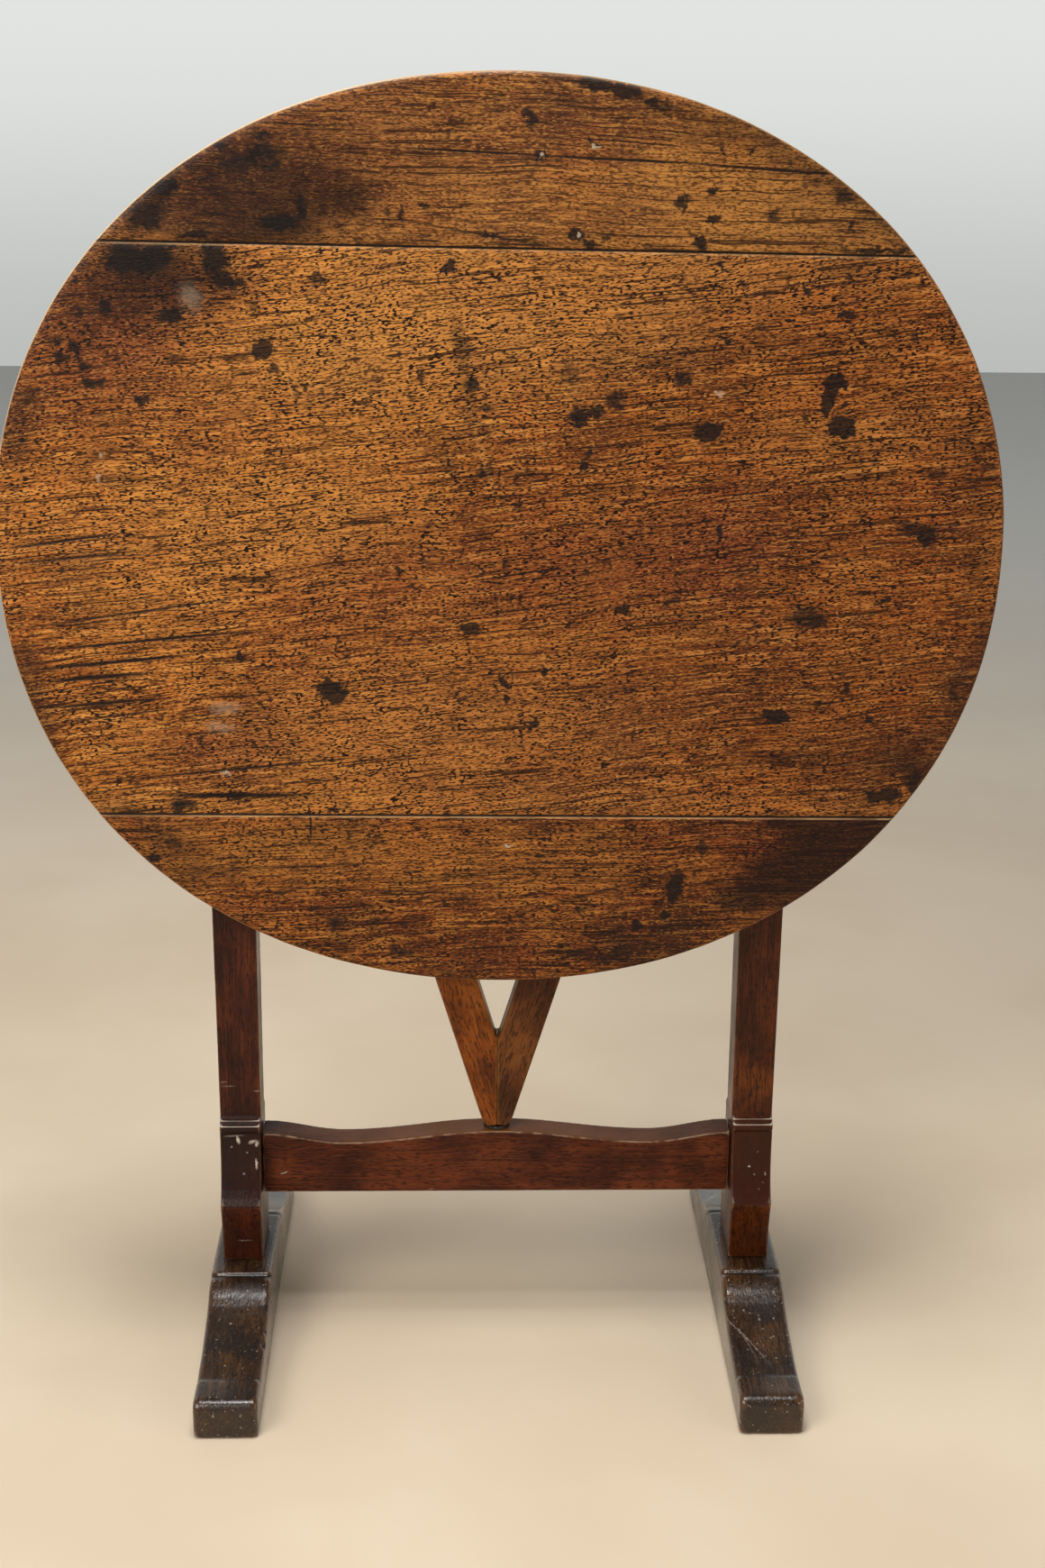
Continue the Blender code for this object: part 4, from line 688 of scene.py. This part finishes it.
def seam_angle(seam, offset, draw, low, high):
    """Angle between low and high where the rim crosses a plank seam."""
    place, skew = seam

    def above(angle):
        x, z = oval_point(angle, draw)
        return z - place - offset - math.tan(skew) * x

    rising = above(high) > above(low)
    for _ in range(48):
        middle = (low + high) / 2
        if (above(middle) < 0) == rising:
            low = middle
        else:
            high = middle
    return (low + high) / 2


def hand_cut(angle, seed):
    """How far the spokeshave strayed inside the true oval at an angle: never outside it."""
    turn = Vector((math.cos(angle), math.sin(angle), seed))
    return 0.00035 * (1 + noise.noise(turn * 5)) + 0.0002 * (1 + noise.noise(turn * 17))


def rim_run(start, end, draw, stray, seed):
    """Points along the rim between two angles, drawn in and straying as the hand did."""
    points = []
    for i in range(RIM_STEPS + 1):
        angle = start + (end - start) * i / RIM_STEPS
        points.append(oval_point(angle, draw + stray * hand_cut(angle, seed)))
    return points


def seam_run(start, end, seed):
    """Points along a seam between two rim points, a hair off straight."""
    points = []
    for i in range(1, SEAM_STEPS):
        share = i / SEAM_STEPS
        x = start[0] + (end[0] - start[0]) * share
        z = start[1] + (end[1] - start[1]) * share
        points.append((x, z + 0.0001 * noise.noise(Vector((x * 60, seed, 0)))))
    return points


def plank_ring(lower, upper, draw, gap, stray, seed):
    """Outline of a plank between its seams, drawn in at the rim and at the seams."""
    quarter = math.pi / 2
    if lower:
        lower_right = seam_angle(lower, gap, draw, -quarter, quarter)
        lower_left = seam_angle(lower, gap, draw, quarter, 3 * quarter)
    if upper:
        upper_right = seam_angle(upper, -gap, draw, -quarter, quarter)
        upper_left = seam_angle(upper, -gap, draw, quarter, 3 * quarter)
    if lower and upper:
        right = rim_run(lower_right, upper_right, draw, stray, seed)
        left = rim_run(upper_left, lower_left, draw, stray, seed)
        return right + seam_run(right[-1], left[0], seed) + left + seam_run(left[-1], right[0], seed)
    if lower:
        rim = rim_run(lower_right, lower_left, draw, stray, seed)
    else:
        rim = rim_run(upper_left, upper_right + 4 * quarter, draw, stray, seed)
    return rim + seam_run(rim[-1], rim[0], seed)


def plank(name, lower, upper, finish, seed):
    """One board of the top, with its rim rounded by hand and its seams a little eased."""
    levels = [(BACK_EASE + FLAT_MARGIN, SEAM_GAP + FLAT_MARGIN, UNDERSIDE, 1.0),
              (BACK_EASE, SEAM_GAP, UNDERSIDE, 1.0), (0, SEAM_GAP, UNDERSIDE - BACK_EASE, 1.0)]
    for i in range(ROUND_STEPS):
        turn = math.pi / 2 * i / ROUND_STEPS
        draw = RIM_ROUND * (1 - math.cos(turn))
        levels.append((draw, SEAM_GAP, FACE + RIM_ROUND * (1 - math.sin(turn)) + SEAM_EASE / 4, 1.0))
    levels.append((RIM_ROUND, SEAM_GAP + SEAM_EASE, FACE, 1.0))
    levels.append((RIM_ROUND + FLAT_MARGIN, SEAM_GAP + SEAM_EASE + FLAT_MARGIN, FACE, 0.0))
    bm = bmesh.new()
    rings = []
    for draw, gap, depth, stray in levels:
        outline = plank_ring(lower, upper, draw, gap, stray, seed)
        rings.append([bm.verts.new((x, depth, z)) for x, z in outline])
    for back, front in zip(rings, rings[1:]):
        for i, corner in enumerate(back):
            j = (i + 1) % len(back)
            bm.faces.new((corner, front[i], front[j], back[j]))
    bm.faces.new(rings[0])
    bm.faces.new(list(reversed(rings[-1])))
    bmesh.ops.recalc_face_normals(bm, faces=bm.faces)
    mesh = bpy.data.meshes.new(name)
    bm.to_mesh(mesh)
    bm.free()
    mesh.shade_smooth()
    mesh.set_sharp_from_angle(angle=SMOOTH_ANGLE)
    mesh.materials.append(finish)
    piece = link(name + "_board", mesh)
    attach(piece, "top")
    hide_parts(name)


def rubbed(spots, edges, rounds):
    """Places of a skin's points once it is rubbed: each is drawn towards its neighbours in every round."""
    count = len(spots)
    ends = np.concatenate((edges[:, 0], edges[:, 1]))
    others = np.concatenate((edges[:, 1], edges[:, 0]))
    neighbours = np.maximum(np.bincount(ends, minlength=count), 1)
    for _ in range(rounds):
        sums = [np.bincount(ends, weights=spots[others, k], minlength=count) for k in range(3)]
        spots = (spots + np.stack(sums, axis=1) / neighbours[:, None]) / 2
    return spots


def worn(node, body, finish, skin, rub, ripple, keep, seed, dents=(), meet=None):
    """A joiner's piece after a long life: an even skin on its solid, with rubbed edges, ripples and dents.

    The skin is the size of its faces, rub the rounds of rubbing, ripple the depth of the plane's waves and
    keep the share of faces that is left. A side at the place where it meets its neighbour stays flat, so
    that the joint stays shut.
    """
    piece = link(node + "_worn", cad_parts[node].data.copy())
    piece.data.materials.clear()
    cover = piece.modifiers.new("even_skin", 'REMESH')
    cover.mode = 'VOXEL'
    cover.voxel_size = skin
    mesh = bpy.data.meshes.new_from_object(piece.evaluated_get(bpy.context.evaluated_depsgraph_get()))
    piece.modifiers.clear()
    piece.data = mesh

    count = len(mesh.vertices)
    spots = np.empty(count * 3)
    mesh.vertices.foreach_get("co", spots)
    spots = spots.reshape(-1, 3)
    edges = np.empty(len(mesh.edges) * 2, dtype=np.int64)
    mesh.edges.foreach_get("vertices", edges)
    edges = edges.reshape(-1, 2)
    spots = rubbed(spots, edges, 1)
    smooth = rubbed(spots, edges, rub)
    shift = Vector((seed * 3.7, seed * 1.3, 0))
    wear = np.array([noise.noise(Vector(p) * 28 + shift) for p in spots])
    amount = np.clip(0.62 + 1.1 * wear, 0.15, 1.0)
    spots += (smooth - spots) * amount[:, None]

    mesh.vertices.foreach_set("co", spots.ravel())
    mesh.update()
    normals = np.empty(count * 3)
    mesh.vertices.foreach_get("normal", normals)
    normals = normals.reshape(-1, 3)
    wide = np.array([noise.noise(Vector(p) * 30 + shift) for p in spots])
    fine = np.array([noise.noise(Vector(p) * 110 + shift) for p in spots])
    sunk = ripple * (0.5 + 0.5 * wide) + 0.3 * ripple * (0.5 + 0.5 * fine)
    for centre, radius, depth in dents:
        far = np.linalg.norm(spots - np.array(centre), axis=1) / radius
        sunk += depth * np.clip(1 - far ** 2, 0, 1) ** 2
    spots -= normals * sunk[:, None]
    if meet is not None:
        joint = (np.abs(spots[:, 0] - meet) < JOINT_REACH) & (np.abs(normals[:, 0]) > 0.6)
        spots[joint, 0] = meet
    proud = ((spots - rubbed(spots, edges, 24)) * normals).sum(axis=1)

    mesh.vertices.foreach_set("co", spots.ravel())
    facing_up = np.clip(normals[:, 2], 0, 1)
    for name, amounts in (("proud", np.clip(proud / FULLY_PROUD, -1, 1)), ("level", facing_up)):
        attribute = mesh.attributes.new(name, 'FLOAT', 'POINT')
        attribute.data.foreach_set("value", amounts.astype(np.float32))
    mesh.update()
    thin = piece.modifiers.new("fewer_faces", 'DECIMATE')
    thin.ratio = keep
    lean = bpy.data.meshes.new_from_object(piece.evaluated_get(bpy.context.evaluated_depsgraph_get()))
    piece.modifiers.clear()
    piece.data = lean
    lean.shade_smooth()
    lean.materials.clear()
    lean.materials.append(finish)
    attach(piece, body)
    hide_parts(node)


def dress(names, finish):
    """Finish on pieces whose solids are already right."""
    for name in names:
        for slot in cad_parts[name].material_slots:
            slot.material = finish


def make_top():
    """Three boards of the oval, and the bare wood behind them."""
    upper = hand_planed_walnut("upper", {
        "body": "834D25", "light": "9B642F", "deep": "57331A", "warm": "935120", "glow": "B57B3A",
        "line": "40220F", "pore": "261206", "red": "5C2C1A", "rim": "A87C48", "rim_highlight": "E6D2AE"},
        (0, math.radians(-1), 0), (300, 40, 900), pores=0.75, shade=0.0,
        seams=[(UPPER_SEAM, 1, 0.0, 0.1)])
    middle = hand_planed_walnut("middle", {
        "body": "9D581B", "light": "B46D2B", "deep": "6E3815", "warm": "A05017", "glow": "CF8D43",
        "line": "4E240B", "pore": "1E0B03", "red": "7A3C20", "rim": "A87038", "rim_highlight": "E6D2AE"},
        (0, math.radians(6), 0), (0, 0, 0), pores=1.0, shade=0.7,
        seams=[(LOWER_SEAM, 1, 0.0, 0.3), (UPPER_SEAM, -1, 0.35, 0.25)])
    lower = hand_planed_walnut("lower", {
        "body": "7A3F16", "light": "935723", "deep": "4A220E", "warm": "883E14", "glow": "B97833",
        "line": "2E1306", "pore": "1A0802", "red": "6E2C10", "rim": "B5702E", "rim_highlight": "C08A4E"},
        (0, math.radians(2), 0), (-500, 90, 400), pores=0.95, shade=0.5,
        seams=[(LOWER_SEAM, -1, 0.6, 0.0)])
    plank("upper_plank", UPPER_SEAM, None, upper, 1)
    plank("middle_plank", LOWER_SEAM, UPPER_SEAM, middle, 2)
    plank("lower_plank", None, LOWER_SEAM, lower, 3)

    bare = {"body": "4D3322", "light": "664630", "deep": "33200F", "worn": "74523A", "grime": "1E130C"}
    batten = old_joinery("sawn_walnut_batten", bare, ALONG_Z, (70, 0, 20), dullness=0.6, dust_and_glints=0.25)
    rail = old_joinery("sawn_walnut_bearer", bare, ALONG_X, (20, 60, 0), dullness=0.6, dust_and_glints=0.25)
    for i, side in enumerate(("left", "right")):
        worn(side + "_batten", "top", batten,
             skin=0.0024, rub=3, ripple=0.0003, keep=0.3, seed=11 + i)
        worn(side + "_cheek", "top", batten,
             skin=0.002, rub=4, ripple=0.0003, keep=0.35, seed=13 + i)
    worn("bearer_rail", "top", rail,
         skin=0.002, rub=3, ripple=0.0003, keep=0.3, seed=15)
    worn("gate_stop", "top", rail,
         skin=0.0012, rub=3, ripple=0.0002, keep=0.5, seed=16)
    dress(("lower_tongue", "upper_tongue"), rail)


def make_trestle():
    """Posts, feet and rails, which stand still."""
    dark = {"body": "451B0C", "light": "5E2A12", "deep": "280D06", "worn": "8E6242", "grime": "0A0403",
            "soot": "1E110E", "ledge": "CFC2B2"}
    amber = {"body": "4A1F07", "light": "64300C", "deep": "2B1003", "worn": "8E6242", "grime": "0A0403",
             "soot": "321308", "ledge": "CFC2B2"}
    left = old_joinery("waxed_walnut_left_post", dark, ALONG_Z, (0, 30, 0), dullness=0.3, shine=0.22,
                       soot=BLOCK_SOOT, chips=LEFT_POST_CHIPS, figure=0.8)
    right = old_joinery("waxed_walnut_right_post", amber, ALONG_Z, (400, 30, 90), dullness=0.3, shine=0.22,
                        soot=BLOCK_SOOT, chips=RIGHT_POST_CHIPS, figure=0.8)
    ruddy = {"body": "4C200C", "light": "673015", "deep": "2C1006", "worn": "B0947A", "grime": "100603",
             "trodden": "7C4A20"}
    bar = old_joinery("waxed_walnut_rail", ruddy, ALONG_X, (0, 0, 30), dullness=0.36, shine=0.18,
                      chips=RAIL_CHIPS, figure=0.7)
    black = {"body": "2B1A0E", "light": "493019", "deep": "180D06", "worn": "573A22", "grime": "070403"}
    # On the feet the pale specks are partly dust and partly painted glints
    left_sole = old_joinery("trodden_walnut_left_foot", black, ALONG_Y, (0, 10, 0), dullness=0.24,
                            shine=0.42, wax=0.4, dust_and_glints=0.45, bumps=0.75)
    right_sole = old_joinery("trodden_walnut_right_foot", black, ALONG_Y, (90, 10, 0), dullness=0.24,
                             shine=0.42, wax=0.4, dust_and_glints=0.45, chips=RIGHT_FOOT_SCRATCH, bumps=0.75)
    for i, (side, post, sole, dents) in enumerate((
            ("left", left, left_sole, LEFT_FOOT_NOTCHES), ("right", right, right_sole, ()))):
        worn(side + "_foot", "base", sole,
             skin=0.0014, rub=5, ripple=0.0004, keep=0.25, seed=21 + i, dents=dents)
        worn(side + "_upright", "base", post,
             skin=0.0009, rub=1, ripple=0.0002, keep=0.11, seed=23 + i)
    worn("stretcher", "base", bar,
         skin=0.001, rub=1, ripple=0.0002, keep=0.18, seed=25)
    worn("top_rail", "base", bar,
         skin=0.002, rub=3, ripple=0.0003, keep=0.3, seed=26)


def make_prop():
    """V-shaped prop: two arms that meet at a seam, and a head across them."""
    honey = {"body": "7E3F0C", "light": "985318", "deep": "4E2306", "worn": "96602C", "grime": "140803"}
    brown = {"body": "5A2F10", "light": "72421C", "deep": "3A1C08", "worn": "80542A", "grime": "120703"}
    for side, sign, tones in (("left", -1, honey), ("right", 1, brown)):
        lean = (0, math.pi / 2 - sign * GATE_LEAN, 0)
        arm = old_joinery("waxed_cherry_" + side, tones, lean, (sign * 90, 0, 0), dullness=0.38, shine=0.2,
                          figure=0.55)
        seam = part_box(side + "_gate_arm")[(1 - sign) // 2][0]
        worn(side + "_gate_arm", "gate", arm,
             skin=0.001, rub=1, ripple=0.00012, keep=0.2, seed=31 + sign, meet=seam)
    head = old_joinery("waxed_cherry_head", honey, ALONG_X, (0, 50, 0), dullness=0.45)
    worn("gate_bar", "gate", head,
         skin=0.0018, rub=3, ripple=0.0003, keep=0.3, seed=33)


def make_fittings():
    """Iron screws, pins and washer, and oak pegs."""
    iron = forged_iron()
    screws = [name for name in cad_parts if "screw" in name]
    pins = [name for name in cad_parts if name.endswith("_pin")]
    dress(screws + pins + ["gate_washer"], iron)
    oak = {"body": "4C3523", "light": "6A4C33", "deep": "332113", "worn": "6A4C33", "grime": "1C110A"}
    peg = old_joinery("cleft_oak_peg", oak, ALONG_Y, (0, 0, 0), dullness=0.5)
    dress([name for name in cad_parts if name.endswith("_peg")] + ["gate_dowel"], peg)


def make_stage():
    """Plain pale floor, a large soft light from the left, one overhead, a weak fill, and a pale room."""
    bpy.ops.mesh.primitive_grid_add(
        x_subdivisions=8, y_subdivisions=8, size=FLOOR_SIZE, location=FLOOR_PLACE)
    floor = bpy.context.object
    floor.name = "floor"
    floor.data.materials.append(limewashed_floor())
    for name, place, aim, size, power, colour in (
            ("window_light", (-1.5, -1.9, 2.1), (0, 0, 0.6), 1.6, 55, "FFFBF4"),
            ("ceiling_light", (-0.1, -0.35, 3.0), (0, 0, 0), 1.0, 58, "FFFFFF"),
            ("fill_light", (2.3, -1.7, 1.3), (0, 0, 0.5), 1.6, 14, "FFF6EA")):
        lamp = bpy.data.lights.new(name, 'AREA')
        lamp.shape = 'SQUARE'
        lamp.size = size
        lamp.energy = power
        lamp.color = linear(colour)[:3]
        light = link(name, lamp)
        light.location = place
        light.rotation_euler = (Vector(aim) - Vector(place)).to_track_quat('-Z', 'Y').to_euler()
    room = bpy.data.worlds.new("pale_room")
    room.use_nodes = True
    nodes = room.node_tree.nodes
    nodes.clear()
    aim = add(nodes, "TexCoord", out="Generated")
    back = add(nodes, "SeparateXYZ", {0: aim}, "Y")
    up = add(nodes, "SeparateXYZ", {0: aim}, "Z")
    glow = ramp(nodes, back, -0.35, 0.75, 0.42, 1.06)
    haze = ramp(nodes, up, -0.13, 0.03, 0.66, 1.0)
    glow = times(nodes, glow, haze)
    ceiling = ramp(nodes, up, 0.3, 0.75, 1.0, 0.25)
    glow = times(nodes, glow, ceiling)
    air = add(nodes, "Background", {"Color": "DCDEDB", "Strength": glow})
    add(nodes, "OutputWorld", {"Surface": air})
    bpy.context.scene.world = room
    bpy.context.scene.view_settings.view_transform = 'Standard'


def make_camera():
    """Standing view from the front, a little left of the middle and looking down."""
    yaw, pitch, roll = (math.radians(angle) for angle in CAMERA_TURN)
    ahead = Vector((math.sin(yaw) * math.cos(pitch), math.cos(yaw) * math.cos(pitch), -math.sin(pitch)))
    right = Vector((math.cos(yaw), -math.sin(yaw), 0))
    up = right.cross(ahead)
    tilted_right = math.cos(roll) * right + math.sin(roll) * up
    tilted_up = math.cos(roll) * up - math.sin(roll) * right
    view = bpy.data.cameras.new("front_view")
    view.lens = LENS
    view.sensor_width = SENSOR
    camera = link("front_view", view)
    turned = Matrix((tilted_right, tilted_up, -ahead)).transposed().to_4x4()
    camera.matrix_world = Matrix.Translation(CAMERA_PLACE) @ turned
    bpy.context.scene.camera = camera


make_camera()
make_stage()
make_top()
make_trestle()
make_prop()
make_fittings()
